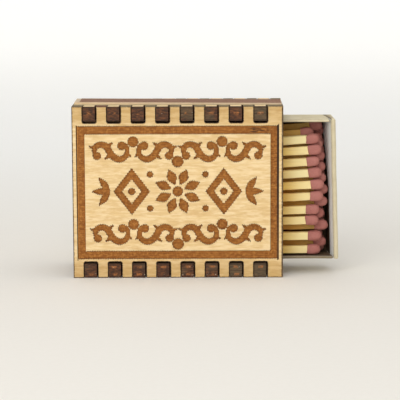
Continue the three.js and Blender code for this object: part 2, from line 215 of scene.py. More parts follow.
class EffectGroup:
    """A shader effect shared by several materials, with named inputs and outputs.

    Args:
        name: The group's name.
        inputs: Each input's name and socket type.
        outputs: Each output's name and socket type.
    """

    def __init__(self, name: str, inputs: dict[str, str], outputs: dict[str, str]) -> None:
        """Opens the group with its named sockets."""
        self.group = bpy.data.node_groups.new(name, "ShaderNodeTree")
        for label, kind in inputs.items():
            self.group.interface.new_socket(label, in_out="INPUT", socket_type="NodeSocket" + kind)
        for label, kind in outputs.items():
            self.group.interface.new_socket(label, in_out="OUTPUT", socket_type="NodeSocket" + kind)
        self.tree = Tree(self.group)
        self.given = self.tree.add("NodeGroupInput").outputs
        self.result = self.tree.add("NodeGroupOutput").inputs

    def place(self, paint: "Paint", **inputs: Fed) -> bpy.types.bpy_prop_collection:
        """Puts the effect into a material.

        Args:
            paint: The material.
            **inputs: What each named input gets, apart from the position.

        Returns:
            The effect's outputs.
        """
        inputs["Position"] = paint.where
        return paint.tree.add("ShaderNodeGroup", inputs, node_tree=self.group).outputs


class WoodGrain(EffectGroup):
    """Straight grain along X: broad streaks, fine fibres and short dark pores."""

    BROAD = (0.05, 0.8, 0.8)
    STREAK = (0.14, 2.0, 2.0)
    FIBRE = (0.7, 6.0, 6.0)
    PORE = (1.1, 6.5, 6.5)

    def __init__(self) -> None:
        """Builds the grain's nodes."""
        super().__init__(
            "wood_grain",
            {"Position": "Vector", "Base": "Color", "Dark": "Color", "Amount": "Float", "Pores": "Float"},
            {"Color": "Color", "Height": "Float"},
        )
        tree, given = self.tree, self.given
        where = given["Position"]
        broad = tree.noise(where, self.BROAD, 3.0)
        streak = tree.noise(where, self.STREAK, 4.0, 0.65)
        fibre = tree.noise(where, self.FIBRE, 2.0, 0.6)
        pore = tree.between(tree.noise(where, self.PORE, 1.0), 0.62, 0.74)
        mixed = tree.plus(tree.times(broad, 0.3), tree.times(streak, 0.42))
        mixed = tree.plus(mixed, tree.times(fibre, 0.28))
        share = tree.times(tree.between(mixed, 0.4, 0.62), given["Amount"])
        toned = tree.blend(share, given["Base"], given["Dark"])
        pored = tree.times(pore, given["Pores"])
        tree.feed(self.result["Color"], tree.blend(pored, toned, given["Dark"]))
        tree.feed(self.result["Height"], tree.math("SUBTRACT", fibre, tree.times(pore, 0.6)))


class Scorch(EffectGroup):
    """Char that follows a burn mark carried by the mesh, with a ragged limit."""

    RAGGED = (2.6, 2.6, 2.6)

    def __init__(self) -> None:
        """Builds the char's nodes."""
        super().__init__(
            "scorch",
            {"Position": "Vector", "Color": "Color", "Char": "Color", "Burn": "Float", "Amount": "Float"},
            {"Color": "Color"},
        )
        tree, given = self.tree, self.given
        ragged = tree.noise(given["Position"], self.RAGGED, 2.0)
        edge = tree.plus(given["Burn"], tree.between(ragged, 0.3, 0.7, -0.25, 0.25))
        mask = tree.times(tree.between(edge, 0.15, 0.95), given["Amount"])
        tree.feed(self.result["Color"], tree.blend(mask, given["Color"], given["Char"]))


class CardFibre(EffectGroup):
    """Uncoated card: cloudy tone, short fibres and a few dark specks."""

    CLOUD = (0.35, 0.35, 0.35)
    FIBRE = (3.0, 7.0, 7.0)
    SPECK = (2.2, 3.4, 3.4)

    def __init__(self) -> None:
        """Builds the card's nodes."""
        super().__init__(
            "card_fibre",
            {"Position": "Vector", "Base": "Color", "Shade": "Color", "Speck": "Color"},
            {"Color": "Color", "Height": "Float"},
        )
        tree, given = self.tree, self.given
        where = given["Position"]
        cloud = tree.between(tree.noise(where, self.CLOUD, 3.0), 0.35, 0.7)
        fibre = tree.noise(where, self.FIBRE, 3.0, 0.65)
        speck = tree.between(tree.noise(where, self.SPECK, 1.0), 0.7, 0.78)
        share = tree.plus(tree.times(cloud, 0.6), tree.between(fibre, 0.4, 0.7, 0.0, 0.3))
        toned = tree.blend(share, given["Base"], given["Shade"])
        tree.feed(self.result["Color"], tree.blend(tree.times(speck, 0.5), toned, given["Speck"]))
        tree.feed(self.result["Height"], fibre)


class Grit(EffectGroup):
    """Fine grains set in a binder, with light and dark grains showing."""

    GRAIN = (5.5, 5.5, 5.5)
    CLOUD = (0.7, 0.7, 0.7)

    def __init__(self) -> None:
        """Builds the grit's nodes."""
        super().__init__(
            "grit",
            {"Position": "Vector", "Base": "Color", "Light": "Color", "Dark": "Color", "Amount": "Float"},
            {"Color": "Color", "Height": "Float"},
        )
        tree, given = self.tree, self.given
        where = given["Position"]
        grain = tree.noise(where, self.GRAIN, 2.0, 0.7)
        cloud = tree.noise(where, self.CLOUD, 3.0)
        light = tree.times(tree.between(grain, 0.55, 0.75), given["Amount"])
        dark = tree.times(tree.between(grain, 0.48, 0.3), given["Amount"])
        toned = tree.blend(tree.between(cloud, 0.4, 0.7, 0.0, 0.35), given["Base"], given["Light"])
        toned = tree.blend(light, toned, given["Light"])
        tree.feed(self.result["Color"], tree.blend(dark, toned, given["Dark"]))
        tree.feed(self.result["Height"], grain)


@dataclass
class Effects:
    """The shared effects, each built once."""

    grain: WoodGrain = field(default_factory=WoodGrain)
    scorch: Scorch = field(default_factory=Scorch)
    fibre: CardFibre = field(default_factory=CardFibre)
    grit: Grit = field(default_factory=Grit)


# Finishes


class Paint:
    """A material under construction: a Principled shader and places in millimetres.

    Args:
        name: The material's name.
    """

    def __init__(self, name: str) -> None:
        """Opens the material and finds its shader."""
        self.material = bpy.data.materials.new(name)
        self.material.use_nodes = True
        self.tree = Tree(self.material.node_tree)
        self.shader = self.material.node_tree.nodes["Principled BSDF"]
        place = self.tree.add("ShaderNodeTexCoord").outputs["Object"]
        self.where = self.tree.stretch(place, (PER_MM, PER_MM, PER_MM))
        self.axes = self.tree.add("ShaderNodeSeparateXYZ", {0: self.where}).outputs

    def finish(
        self, color: Socket, roughness: Fed, height: Socket, relief_mm: float, strength: float = 0.6
    ) -> Material:
        """Joins colour, roughness and relief to the shader.

        Args:
            color: The base colour.
            roughness: The roughness, as a socket or a number.
            height: The relief.
            relief_mm: How high the relief is.
            strength: How strongly it shows.

        Returns:
            The finished material.
        """
        inputs = {"Height": height, "Distance": relief_mm * MM, "Strength": strength}
        bump = self.tree.add("ShaderNodeBump", inputs)
        self.tree.feed(self.shader.inputs["Base Color"], color)
        self.tree.feed(self.shader.inputs["Roughness"], roughness)
        self.tree.feed(self.shader.inputs["Normal"], bump.outputs["Normal"])
        self.shader.inputs["Specular IOR Level"].default_value = 0.3
        return self.material


@dataclass(frozen=True)
class VeneerFinish:
    """Bare birch veneer, smoked toward the comb-cut edges and charred at their rims."""

    half_length: float  # half the panels' length
    face_centre: float  # height of the middle of the upright panels
    outer_face: float  # distance of their outer faces from the middle along Y
    inner_face: float  # distance of their inner faces
    base: Tone = Tone(0.80, 0.58, 0.285)  # the wood
    streak: Tone = Tone(0.62, 0.385, 0.155)  # its darker grain
    mottle: Tone = Tone(0.93, 0.74, 0.45)  # paler clouds in it
    char: Tone = Tone(0.045, 0.022, 0.012)  # the burnt rim
    smoke: Tone = Tone(0.77, 0.70, 0.57)  # what the smoke multiplies the wood by
    smear: Tone = Tone(0.25, 0.19, 0.085)  # tone of the stain along the joints on the top side
    right_rim: float = 0.5  # width of the scorched rim at the right end
    left_rim: float = 0.38  # its width at the left end
    low_rim: float = 0.36  # height of the scorched rim at the foot
    smoke_start: float = 16.0  # distance from the face's centre at which the smoke begins
    smoke_full: float = 19.5  # distance at which it is full
    soot_start: float = 15.2  # distance from it at which the soot on the inner faces begins
    soot_full: float = 16.6  # distance at which it is full
    tab_face: float = 18.65  # distance within which a tab's inner face lies
    stain_start: float = 2.6  # distance from the middle along Y at which the stain begins
    stain_full: float = 5.2  # distance at which it is full
    stain_end: float = 7.2  # distance at which it ends

    def build(self, effects: Effects) -> Material:
        """Mixes the veneer.

        Args:
            effects: The shared effects.

        Returns:
            The material.
        """
        paint = Paint("birch_veneer")
        tree = paint.tree
        x, z = paint.axes["X"], paint.axes["Z"]
        off_centre = tree.off(z, self.face_centre)
        across = tree.math("ABSOLUTE", paint.axes["Y"])
        grain = effects.grain.place(paint, Base=self.base, Dark=self.streak, Amount=0.55, Pores=0.35)
        cloud = tree.noise(paint.where, (0.3, 1.5, 1.5), 3.0, 0.6)
        wood = tree.blend(tree.between(cloud, 0.4, 0.66, 0.0, 0.6), grain["Color"], self.mottle)

        upright = tree.between(off_centre, self.face_centre, self.face_centre - 0.1)
        smoke = tree.times(tree.between(off_centre, self.smoke_start, self.smoke_full), upright)
        smoked = tree.blend(smoke, wood, tree.blend(1.0, wood, self.smoke, "MULTIPLY"))
        on_top = tree.between(z, 2 * self.face_centre - 0.15, 2 * self.face_centre - 0.05)
        beside = tree.between(across, self.stain_start, self.stain_full)
        ending = tree.between(across, self.stain_end, self.stain_end - 0.4)
        wander = tree.between(tree.noise(paint.where, (0.3, 1.2, 1.2), 3.0), 0.35, 0.6, 0.25, 0.8)
        stained = tree.blend(tree.times(on_top, beside, ending, wander), smoked, self.smear)

        in_joint = tree.within(across, self.inner_face + 0.07, self.outer_face - 0.05, 0.09)
        hidden = tree.times(in_joint, tree.between(off_centre, self.tab_face, self.tab_face - 0.1))
        indoors = tree.within(across, self.inner_face - 0.1, self.inner_face + 0.1, 0.05)
        soot = tree.times(indoors, tree.between(off_centre, self.soot_start, self.soot_full))
        end = self.half_length
        right = tree.between(x, end - self.right_rim, end - self.right_rim * 0.6, 0.0, 0.9)
        left = tree.between(x, self.left_rim - end, self.left_rim * 0.4 - end, 0.0, 0.85)
        low = tree.between(z, self.low_rim, self.low_rim - 0.2, 0.0, 0.9)
        burnt = effects.scorch.place(
            paint,
            Color=stained,
            Char=self.char,
            Burn=tree.most(tree.mark("burn"), right, left, low, hidden, soot),
            Amount=0.92,
        )
        roughness = tree.between(grain["Height"], 0.2, 0.8, 0.62, 0.5)
        return paint.finish(burnt["Color"], roughness, grain["Height"], 0.03)


@dataclass(frozen=True)
class CutFinish:
    """A laser-cut plywood edge: charred plies, glue lines and glowing orange streaks."""

    name: str  # the material's name
    along: Solid  # noise scale for each axis, low along the plies and high across them
    hot_plies: tuple[float, ...]  # how deep in the ply the orange streaks lie, as shares
    pitch: float  # distance from one tab to the next
    first_tab: float  # place of the first tab's middle along X
    sanded: float = NOWHERE  # height above which the edge is olive, as the sanded top edge is
    ash_from: float = NOWHERE  # place along X from which the tabs' ends are ashy
    dark_from: float = -20.9  # place along X from which the sanded edge stays dark at the front
    dark_to: float = -17.9  # place along X up to which it does
    tab_reach: float = 1.35  # distance from a tab's middle at which the streaks have died away
    glue_waves: float = 2.5  # how many waves the glue lines make through the thickness
    black: Tone = Tone(0.038, 0.017, 0.009)  # the charred plies
    brown: Tone = Tone(0.175, 0.066, 0.026)  # where the char is thinner
    ash: Tone = Tone(0.12, 0.095, 0.05)  # a grey bloom
    glow: Tone = Tone(0.46, 0.165, 0.045)  # the bare orange streaks
    speck: Tone = Tone(0.62, 0.50, 0.36)  # rare bare fibres
    olive: Tone = Tone(0.22, 0.17, 0.08)  # the sanded edge

    def build(self, effects: Effects) -> Material:
        """Mixes the cut edge.

        Args:
            effects: The shared effects.

        Returns:
            The material.
        """
        paint = Paint(self.name)
        tree = paint.tree
        x, ply = paint.axes["X"], tree.mark("ply")
        streak = tree.noise(paint.where, self.along, 4.0, 0.65)
        fine = tree.noise(paint.where, tuple(scale * 2.7 for scale in self.along), 2.0, 0.6)
        cloud = tree.noise(paint.where, (0.16, 0.16, 0.16), 2.0)
        char = tree.blend(tree.between(streak, 0.38, 0.68), self.black, self.brown)
        aged = tree.between(x, self.ash_from, self.ash_from + 0.5, 0.0, 0.62)
        ashy = tree.most(tree.between(cloud, 0.5, 0.66, 0.0, 0.5), aged)
        bloom = tree.times(ashy, tree.between(streak, 0.3, 0.55, 0.4, 1.0))
        char = tree.blend(bloom, char, self.ash)

        from_first = tree.math("SUBTRACT", x, self.first_tab)
        off_tab = tree.math("ABSOLUTE", tree.math("WRAP", from_first, self.pitch / 2, -self.pitch / 2))
        patch = tree.noise(paint.where, (0.5, 0.5, 0.5), 2.0)
        spot = tree.times(patch, tree.between(off_tab, self.tab_reach, 0.3, 0.55, 1.15))
        near = tree.most(0.0, *(tree.between(tree.off(ply, level), 0.13, 0.02) for level in self.hot_plies))
        hot = tree.times(tree.between(fine, 0.4, 0.58), tree.between(spot, 0.46, 0.6), near)
        glowing = tree.blend(hot, char, self.glow)
        fleck = tree.between(tree.noise(paint.where, (1.9, 1.9, 3.4), 1.0), 0.7, 0.76)
        glowing = tree.blend(tree.times(fleck, near), glowing, self.speck)
        glue = tree.between(tree.math("SINE", tree.times(ply, math.tau * self.glue_waves)), 0.9, 1.0)
        lined = tree.blend(tree.times(glue, 0.7), glowing, self.black)
        rim = tree.between(tree.off(ply, 0.5), 0.4, 0.49)
        edged = tree.blend(tree.times(rim, 0.75), lined, self.black)

        wear_and_shade = tree.between(tree.noise(paint.where, (0.16, 0.9, 0.9), 2.0), 0.36, 0.56, 0.25, 0.95)
        top = tree.times(tree.between(paint.axes["Z"], self.sanded, self.sanded + 0.1), wear_and_shade)
        reach = tree.within(x, self.dark_from, self.dark_to, 0.3)
        dark = tree.times(reach, tree.between(paint.axes["Y"], 0.1, 0.0))
        edged = tree.blend(top, edged, tree.blend(dark, self.olive, self.brown))
        height = tree.plus(streak, tree.times(fine, 0.5))
        return paint.finish(edged, tree.between(streak, 0.3, 0.7, 0.55, 0.8), height, 0.08)


@dataclass(frozen=True)
class EngravedFinish:
    """The floor of the engraving: browned wood with raster lines and darker outlines."""

    base: Tone = Tone(0.375, 0.134, 0.021)  # the browned wood
    streak: Tone = Tone(0.20, 0.062, 0.008)  # its darker grain
    pale: Tone = Tone(0.57, 0.25, 0.052)  # lighter grain that shows through
    char: Tone = Tone(0.11, 0.036, 0.011)  # the outlines
    line_pitch: float = 0.44  # distance from one upright raster line to the next
    band_pitch: float = 0.5  # distance from one level burn line to the next
    score: float = 25.5  # place of the right score line's inner side along X
    score_tone: Tone = Tone(0.022, 0.013, 0.010)  # its colour
    score_low: float = 8.0  # height up to which it is faint
    score_high: float = 24.0  # height from which it is darkest
    scorch_low: Flat = (17.2, 37.2)  # lowest corner of the scorched spot, as X and Z
    scorch_high: Flat = (24.6, 39.2)  # its highest corner
    scorch_tone: Tone = Tone(0.03, 0.014, 0.008)  # its colour

    def build(self, effects: Effects) -> Material:
        """Mixes the engraving's floor.

        Args:
            effects: The shared effects.

        Returns:
            The material.
        """
        paint = Paint("engraved_birch")
        tree = paint.tree
        x, z = paint.axes["X"], paint.axes["Z"]
        grain = effects.grain.place(paint, Base=self.base, Dark=self.streak, Amount=0.8, Pores=0.6)
        show = tree.between(tree.noise(paint.where, (0.25, 5.0, 5.0), 2.0), 0.58, 0.75)
        toned = tree.blend(tree.times(show, 0.5), grain["Color"], self.pale)
        wave = tree.math("SINE", tree.times(x, math.tau / self.line_pitch))
        toned = tree.blend(tree.between(wave, 0.1, 1.0, 0.0, 0.3), toned, self.streak)
        drift = tree.times(tree.noise(paint.where, (0.12, 0.5, 0.5), 3.0), 1.6)
        level = tree.plus(tree.math("DIVIDE", z, self.band_pitch), drift)
        burnt_line = tree.between(tree.math("SINE", tree.times(level, math.tau)), -0.2, 0.9)
        patchy = tree.between(tree.noise(paint.where, (0.35, 1.3, 1.3), 3.0), 0.3, 0.65, 0.2, 0.9)
        toned = tree.blend(tree.times(burnt_line, patchy), toned, self.streak)
        cloud = tree.noise(paint.where, (1.3, 1.6, 1.6), 3.0, 0.7)
        toned = tree.blend(tree.between(cloud, 0.45, 0.65, 0.0, 0.55), toned, self.pale)

        inside = []
        for place, low, high in zip((x, z), self.scorch_low, self.scorch_high):
            reach = (high - low) / 2
            inside.append(tree.between(tree.off(place, low + reach), reach, reach * 0.5))
        smear = tree.between(tree.noise(paint.where, (0.35, 2.2, 2.2), 3.0), 0.48, 0.6)
        spotted = tree.blend(tree.times(*inside, smear), toned, self.scorch_tone)
        mark = tree.mark("burn")
        burnt = effects.scorch.place(paint, Color=spotted, Char=self.char, Burn=mark, Amount=0.75)
        faint = tree.between(z, self.score_low, self.score_high, 0.72, 0.95)
        right = tree.times(tree.between(x, self.score - 0.14, self.score - 0.04), faint)
        left = tree.between(x, -self.score - 0.2, -self.score - 0.28, 0.0, 0.75)
        gap = tree.between(tree.off(x, -self.score - 0.06), 0.14, 0.06, 0.0, 0.6)
        parted = tree.blend(gap, burnt["Color"], self.pale)
        scored = tree.blend(tree.most(right, left), parted, self.score_tone)
        height = tree.plus(grain["Height"], tree.times(wave, 0.3))
        return paint.finish(scored, 0.75, height, 0.05)


@dataclass(frozen=True)
class CardFinish:
    """Folded grey-cream card, whiter and cooler on its inside, with a dark board tone for bare board and
    for painted shade.
    """

    name: str  # the material's name
    outer: Tone = Tone(0.68, 0.60, 0.41)  # the outer side and the rims
    inner: Tone = Tone(0.92, 0.97, 0.93)  # the inner side, where the mesh carries an inner mark
    # the dark grey-brown tone where the mesh carries its mark: bare board at the walls' cut ends, and
    # painted shade on the drawer's floor, low inside its walls and on the bottom wall's rim
    board: Tone = Tone(0.105, 0.064, 0.034)
    shade: Tone = Tone(0.57, 0.49, 0.31)  # the cloudy tone
    speck: Tone = Tone(0.22, 0.17, 0.10)  # dark specks

    def build(self, effects: Effects) -> Material:
        """Mixes the card.

        Args:
            effects: The shared effects.

        Returns:
            The material.
        """
        paint = Paint(self.name)
        tree = paint.tree
        inside = tree.mark("inner")
        card = effects.fibre.place(
            paint,
            Base=tree.blend(inside, self.outer, self.inner),
            Shade=tree.blend(inside, self.shade, self.inner),
            Speck=self.speck,
        )
        # the dark tone mixed in by the mark: bare board at cut ends, painted shade elsewhere in the drawer
        bare_and_shaded = tree.blend(tree.mark("board"), card["Color"], self.board)
        wear_and_shade = effects.scorch.place(paint, Color=bare_and_shaded, Char=self.speck, Burn=tree.mark("burn"), Amount=0.6)
        return paint.finish(wear_and_shade["Color"], 0.8, card["Height"], 0.03, 0.4)


@dataclass(frozen=True)
class CoatFinish:
    """The abrasive coat of the striker strip."""

    base: Tone = Tone(0.265, 0.137, 0.084)  # the reddish-brown binder
    light: Tone = Tone(0.39, 0.23, 0.155)  # pale grains
    dark: Tone = Tone(0.12, 0.056, 0.035)  # dark grains

    def build(self, effects: Effects) -> Material:
        """Mixes the coat.

        Args:
            effects: The shared effects.

        Returns:
            The material.
        """
        paint = Paint("striker_coat")
        coat = effects.grit.place(paint, Base=self.base, Light=self.light, Dark=self.dark, Amount=0.8)
        return paint.finish(coat["Color"], 0.9, coat["Height"], 0.12, 0.8)


@dataclass(frozen=True)
class SplintFinish:
    """Bare split aspen, with painted light making it paler toward the head and painted shade on the matches
    below the top layer.
    """

    base: Tone = Tone(0.95, 0.62, 0.125)  # the wood
    streak: Tone = Tone(0.70, 0.36, 0.05)  # its grain
    pale: Tone = Tone(0.98, 0.83, 0.43)  # the paler wood: some matches at random, and painted light near the head, where the splints leave the sleeve's shade
    depth: Tone = Tone(0.58, 0.42, 0.22)  # painted shade: what the matches below the top layer are multiplied by
    top_layer: float = -2.9  # place along Y down to which the top layer reaches

    def build(self, effects: Effects) -> Material:
        """Mixes the splints' wood.

        Args:
            effects: The shared effects.

        Returns:
            The material.
        """
        paint = Paint("aspen_splint")
        tree = paint.tree
        grain = effects.grain.place(paint, Base=self.base, Dark=self.streak, Amount=0.55, Pores=0.25)
        # painted light: paler toward the head, standing in for the sleeve's shade on the tails
        lit_near_head = tree.between(tree.mark("along"), 0.76, 0.95)
        tone = tree.between(tree.mark("tone"), 0.3, 1.0, 0.0, 0.35)
        golden = tree.between(tree.mark("tone"), 0.4, 0.0, 0.0, 0.4)
        share = tree.math("ADD", tree.times(lit_near_head, 0.8), tone, clamp=True)
        toned = tree.blend(share, tree.blend(golden, grain["Color"], self.streak), self.pale)
        # painted shade on the matches below the top layer, darker with depth along Y
        deep = tree.between(paint.axes["Y"], self.top_layer, self.top_layer + 0.6)
        toned = tree.blend(deep, toned, tree.blend(1.0, toned, self.depth, "MULTIPLY"))
        return paint.finish(toned, 0.7, grain["Height"], 0.05)


@dataclass(frozen=True)
class HeadFinish:
    """The dipped match head: a dull dusty red with a grainy skin."""

    base: Tone = Tone(0.40, 0.140, 0.116)  # the dip
    light: Tone = Tone(0.52, 0.22, 0.185)  # its dusty bloom
    dark: Tone = Tone(0.24, 0.06, 0.053)  # its pits

    def build(self, effects: Effects) -> Material:
        """Mixes the dip.

        Args:
            effects: The shared effects.

        Returns:
            The material.
        """
        paint = Paint("match_head_dip")
        tree = paint.tree
        grit = effects.grit.place(paint, Base=self.base, Light=self.light, Dark=self.dark, Amount=0.5)
        dusty = tree.between(tree.mark("tone"), 0.0, 1.0, 0.0, 0.5)
        toned = tree.blend(dusty, grit["Color"], self.light)
        roughness = tree.between(grit["Height"], 0.3, 0.7, 0.85, 0.6)
        return paint.finish(toned, roughness, grit["Height"], 0.1)


@dataclass
class Finishes:
    """All materials of the object, with the effects they share."""

    effects: Effects = field(default_factory=Effects)

    def __post_init__(self) -> None:
        """Mixes the materials."""
        low, high = box_mm("front_panel")
        joint = CombJoint(high.x - low.x, high.y - low.y)
        tabs = (joint.notch + joint.finger, joint.starts()[0] + joint.notch / 2)
        upright, level = (1.3, 6.0, 1.3), (1.0, 1.3, 4.2)
        upright_cut = CutFinish("cut_edge_upright", upright, (), *tabs, sanded=high.z - 0.3)
        top_cut = CutFinish("cut_edge_top", level, (0.47,), *tabs, ash_from=18.0)
        bottom_cut = CutFinish("cut_edge_bottom", level, (0.24, 0.76), *tabs, ash_from=12.0)
        strip_card = CardFinish("strip_card", outer=Tone(0.66, 0.53, 0.38), shade=Tone(0.55, 0.42, 0.28))
        self.veneer = VeneerFinish(high.x, (low.z + high.z) / 2, -low.y, -high.y).build(self.effects)
        self.upright_cut = upright_cut.build(self.effects)
        self.top_cut = top_cut.build(self.effects)
        self.bottom_cut = bottom_cut.build(self.effects)
        self.engraved = EngravedFinish().build(self.effects)
        self.tray_card = CardFinish("tray_card").build(self.effects)
        self.strip_card = strip_card.build(self.effects)
        self.coat = CoatFinish().build(self.effects)
        self.splint = SplintFinish().build(self.effects)
        self.head = HeadFinish().build(self.effects)


# Mesh making


class Shell:
    """A mesh under construction, in millimetres.

    Args:
        marks: Names of the numbers that its points carry.
    """

    def __init__(self, *marks: str) -> None:
        """Starts an empty mesh."""
        self.points: list[Solid] = []
        self.faces: list[tuple[int, ...]] = []
        self.finishes: list[int] = []
        self.marks: dict[str, list[float]] = {name: [] for name in marks}

    def point(self, place: Sequence[float], **marks: float) -> int:
        """Adds a point.

        Args:
            place: Where it is.
            **marks: The numbers it carries. Any left out are 0.

        Returns:
            Its index.
        """
        self.points.append(tuple(place))
        for name, values in self.marks.items():
            values.append(marks.get(name, 0.0))
        return len(self.points) - 1

    def face(self, corners: Iterable[int], finish: int = 0) -> None:
        """Adds a face.

        Args:
            corners: Its points.
            finish: Index of its material.
        """
        self.faces.append(tuple(corners))
        self.finishes.append(int(finish))

    def band(self, first: Sequence[int], second: Sequence[int], finish: int = 0) -> None:
        """Joins two closed rings of points with quads.

        Args:
            first: Points of one ring.
            second: Points of the next.
            finish: Index of the quads' material.
        """
        count = len(first)
        for i in range(count):
            j = (i + 1) % count
            self.face((first[i], first[j], second[j], second[i]), finish)

    def tube(self, rings: Sequence[Sequence[int]], finish: int = 0) -> None:
        """Joins a row of rings and closes both its ends.

        Args:
            rings: The points of each ring.
            finish: Index of the faces' material.
        """
        for first, second in zip(rings, rings[1:]):
            self.band(first, second, finish)
        self.face(rings[0][::-1], finish)
        self.face(rings[-1], finish)

    def build(
        self, name: str, materials: Sequence[Material], smooth: float | None = None
    ) -> Piece:
        """Makes the object, in metres, with its faces pointing outward.

        Args:
            name: The piece's name.
            materials: Its materials, in the order of the faces' finishes.
            smooth: Angle in degrees below which an edge is shaded smooth, if any.

        Returns:
            The new object.
        """
        mesh = bpy.data.meshes.new(name)
        mesh.from_pydata([[c * MM for c in point] for point in self.points], [], self.faces)
        mesh.polygons.foreach_set("material_index", self.finishes)
        for label, values in self.marks.items():
            mesh.attributes.new(label, "FLOAT", "POINT").data.foreach_set("value", values)
        for material in materials:
            mesh.materials.append(material)
        work = bmesh.new()
        work.from_mesh(mesh)
        bmesh.ops.recalc_face_normals(work, faces=work.faces)
        work.to_mesh(mesh)
        work.free()
        if smooth is not None:
            mesh.polygons.foreach_set("use_smooth", [True] * len(mesh.polygons))
            mesh.set_sharp_from_angle(angle=math.radians(smooth))
        mesh.update()
        piece = bpy.data.objects.new(name, mesh)
        bpy.context.scene.collection.objects.link(piece)
        return piece


def settle(piece: Piece, body: Body, slot: str, *nodes: str) -> None:
    """Puts a finished piece on its body, in place of its CAD nodes.

    Args:
        piece: The piece.
        body: The body it rides on.
        slot: Not used.
        *nodes: The CAD nodes it stands for.
    """
    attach(piece, body.value)
    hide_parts(*nodes)
    LOG.info("%s: %d faces", piece.name, len(piece.data.polygons))


def inset_outline(outline: Sequence[Flat], inset: float) -> list[Flat]:
    """Moves a closed outline inward.

    Args:
        outline: Its points, counter-clockwise.
        inset: How far each side moves.

    Returns:
        The moved points, in the same order.
    """
    if inset == 0:
        return list(outline)
    moved = []
    count = len(outline)
    for i, here in enumerate(outline):
        before = Vector(outline[i - 1])
        after = Vector(outline[(i + 1) % count])
        point = Vector(here)
        arrive = (point - before).normalized()
        leave = (after - point).normalized()
        first = Vector((-arrive.y, arrive.x))
        second = Vector((-leave.y, leave.x))
        corner = (first + second) / (1.0 + first.dot(second))
        moved.append(tuple(point + corner * inset))
    return moved


def unevenness(x: float, y: float, seed: float) -> float:
    """Returns: A share from 0 to 1 that changes smoothly from place to place."""
    return 0.5 * (1 + noise.noise(Vector((x, y, seed))))


# The comb-cut panels


@dataclass(frozen=True)
class CombJoint:
    """The finger joint that the four panels share."""

    length: float  # length of the sleeve
    ply: float  # thickness of the plywood
    notch: float = 3.6  # width of a notch
    finger: float = 2.65  # width of a finger between two notches
    first: float = 2.7  # width of the first finger
    gap: float = 0.25  # play on each side of a tab
    root_gap: float = 0.5  # play at a notch's root
    shift: float = -0.1  # how far the tabs of the near edge sit off the notches' middle
    corner: float = 0.5  # radius in a notch's inner corners

    def starts(self) -> list[float]:
        """Returns: The left side of each notch of the front panel."""
        pitch = self.notch + self.finger
        count = int((self.length - self.first) // pitch)
        return [self.first - self.length / 2 + i * pitch for i in range(count)]

    def _notch(self, left: float, edge: float, inward: float) -> list[Flat]:
        """Draws one notch, walked from its left side to its right side.

        Args:
            left: Its left side.
            edge: The panel's edge.
            inward: Direction into the panel, 1 or -1.

        Returns:
            Its points.
        """
        steps = 4
        right = left + self.notch
        floor = edge + inward * (self.ply + self.root_gap)
        shoulder = floor - inward * self.corner
        points = [(left, edge)]
        for i in range(steps + 1):
            angle = math.pi / 2 * i / steps
            across = self.corner * (1 - math.cos(angle))
            points.append((left + across, shoulder + inward * self.corner * math.sin(angle)))
        points += [(left + right - x, y) for x, y in reversed(points)]
        return points

    def wide_outline(self, height: float) -> list[Flat]:
        """Gives the outline of a panel with notches along both long edges.

        Args:
            height: The panel's height.

        Returns:
            The outline.
        """
        half = self.length / 2
        points = [(-half, 0.0)]
        for left in self.starts():
            points += self._notch(left, 0.0, 1.0)
        points += [(half, 0.0), (half, height)]
        for left in reversed(self.starts()):
            points += reversed(self._notch(left, height, -1.0))
        points.append((-half, height))
        return points

    def narrow_outline(self, tunnel: float, short: Callable[[int], float]) -> list[Flat]:
        """Gives the outline of a panel with tabs along both long edges.

        Args:
            tunnel: Width between the wide panels.
            short: How far each tab's end stays short of the face, by its number.

        Returns:
            The outline.
        """
        half, edge = self.length / 2, tunnel / 2
        width = self.notch - 2 * self.gap
        points = [(-half, -edge)]
        for i, start in enumerate(self.starts()):
            left, tip = start + self.gap + self.shift, edge + self.ply - short(i)
            points += [(left, -edge), (left, -tip), (left + width, -tip), (left + width, -edge)]
        points += [(half, -edge), (half, edge)]
        for i, start in enumerate(self.starts()):
            right, tip = -start - self.gap, edge + self.ply - short(i + len(self.starts()))
            points += [(right, edge), (right, tip), (right - width, tip), (right - width, edge)]
        points.append((-half, edge))
        return points


@dataclass(frozen=True)
class PlateEdge:
    """The section of a cut panel's edge."""

    chamfer: float = 0.06  # how much the beam rounds each rim off
    rim: float = 0.2  # width of the scorched rim on the face


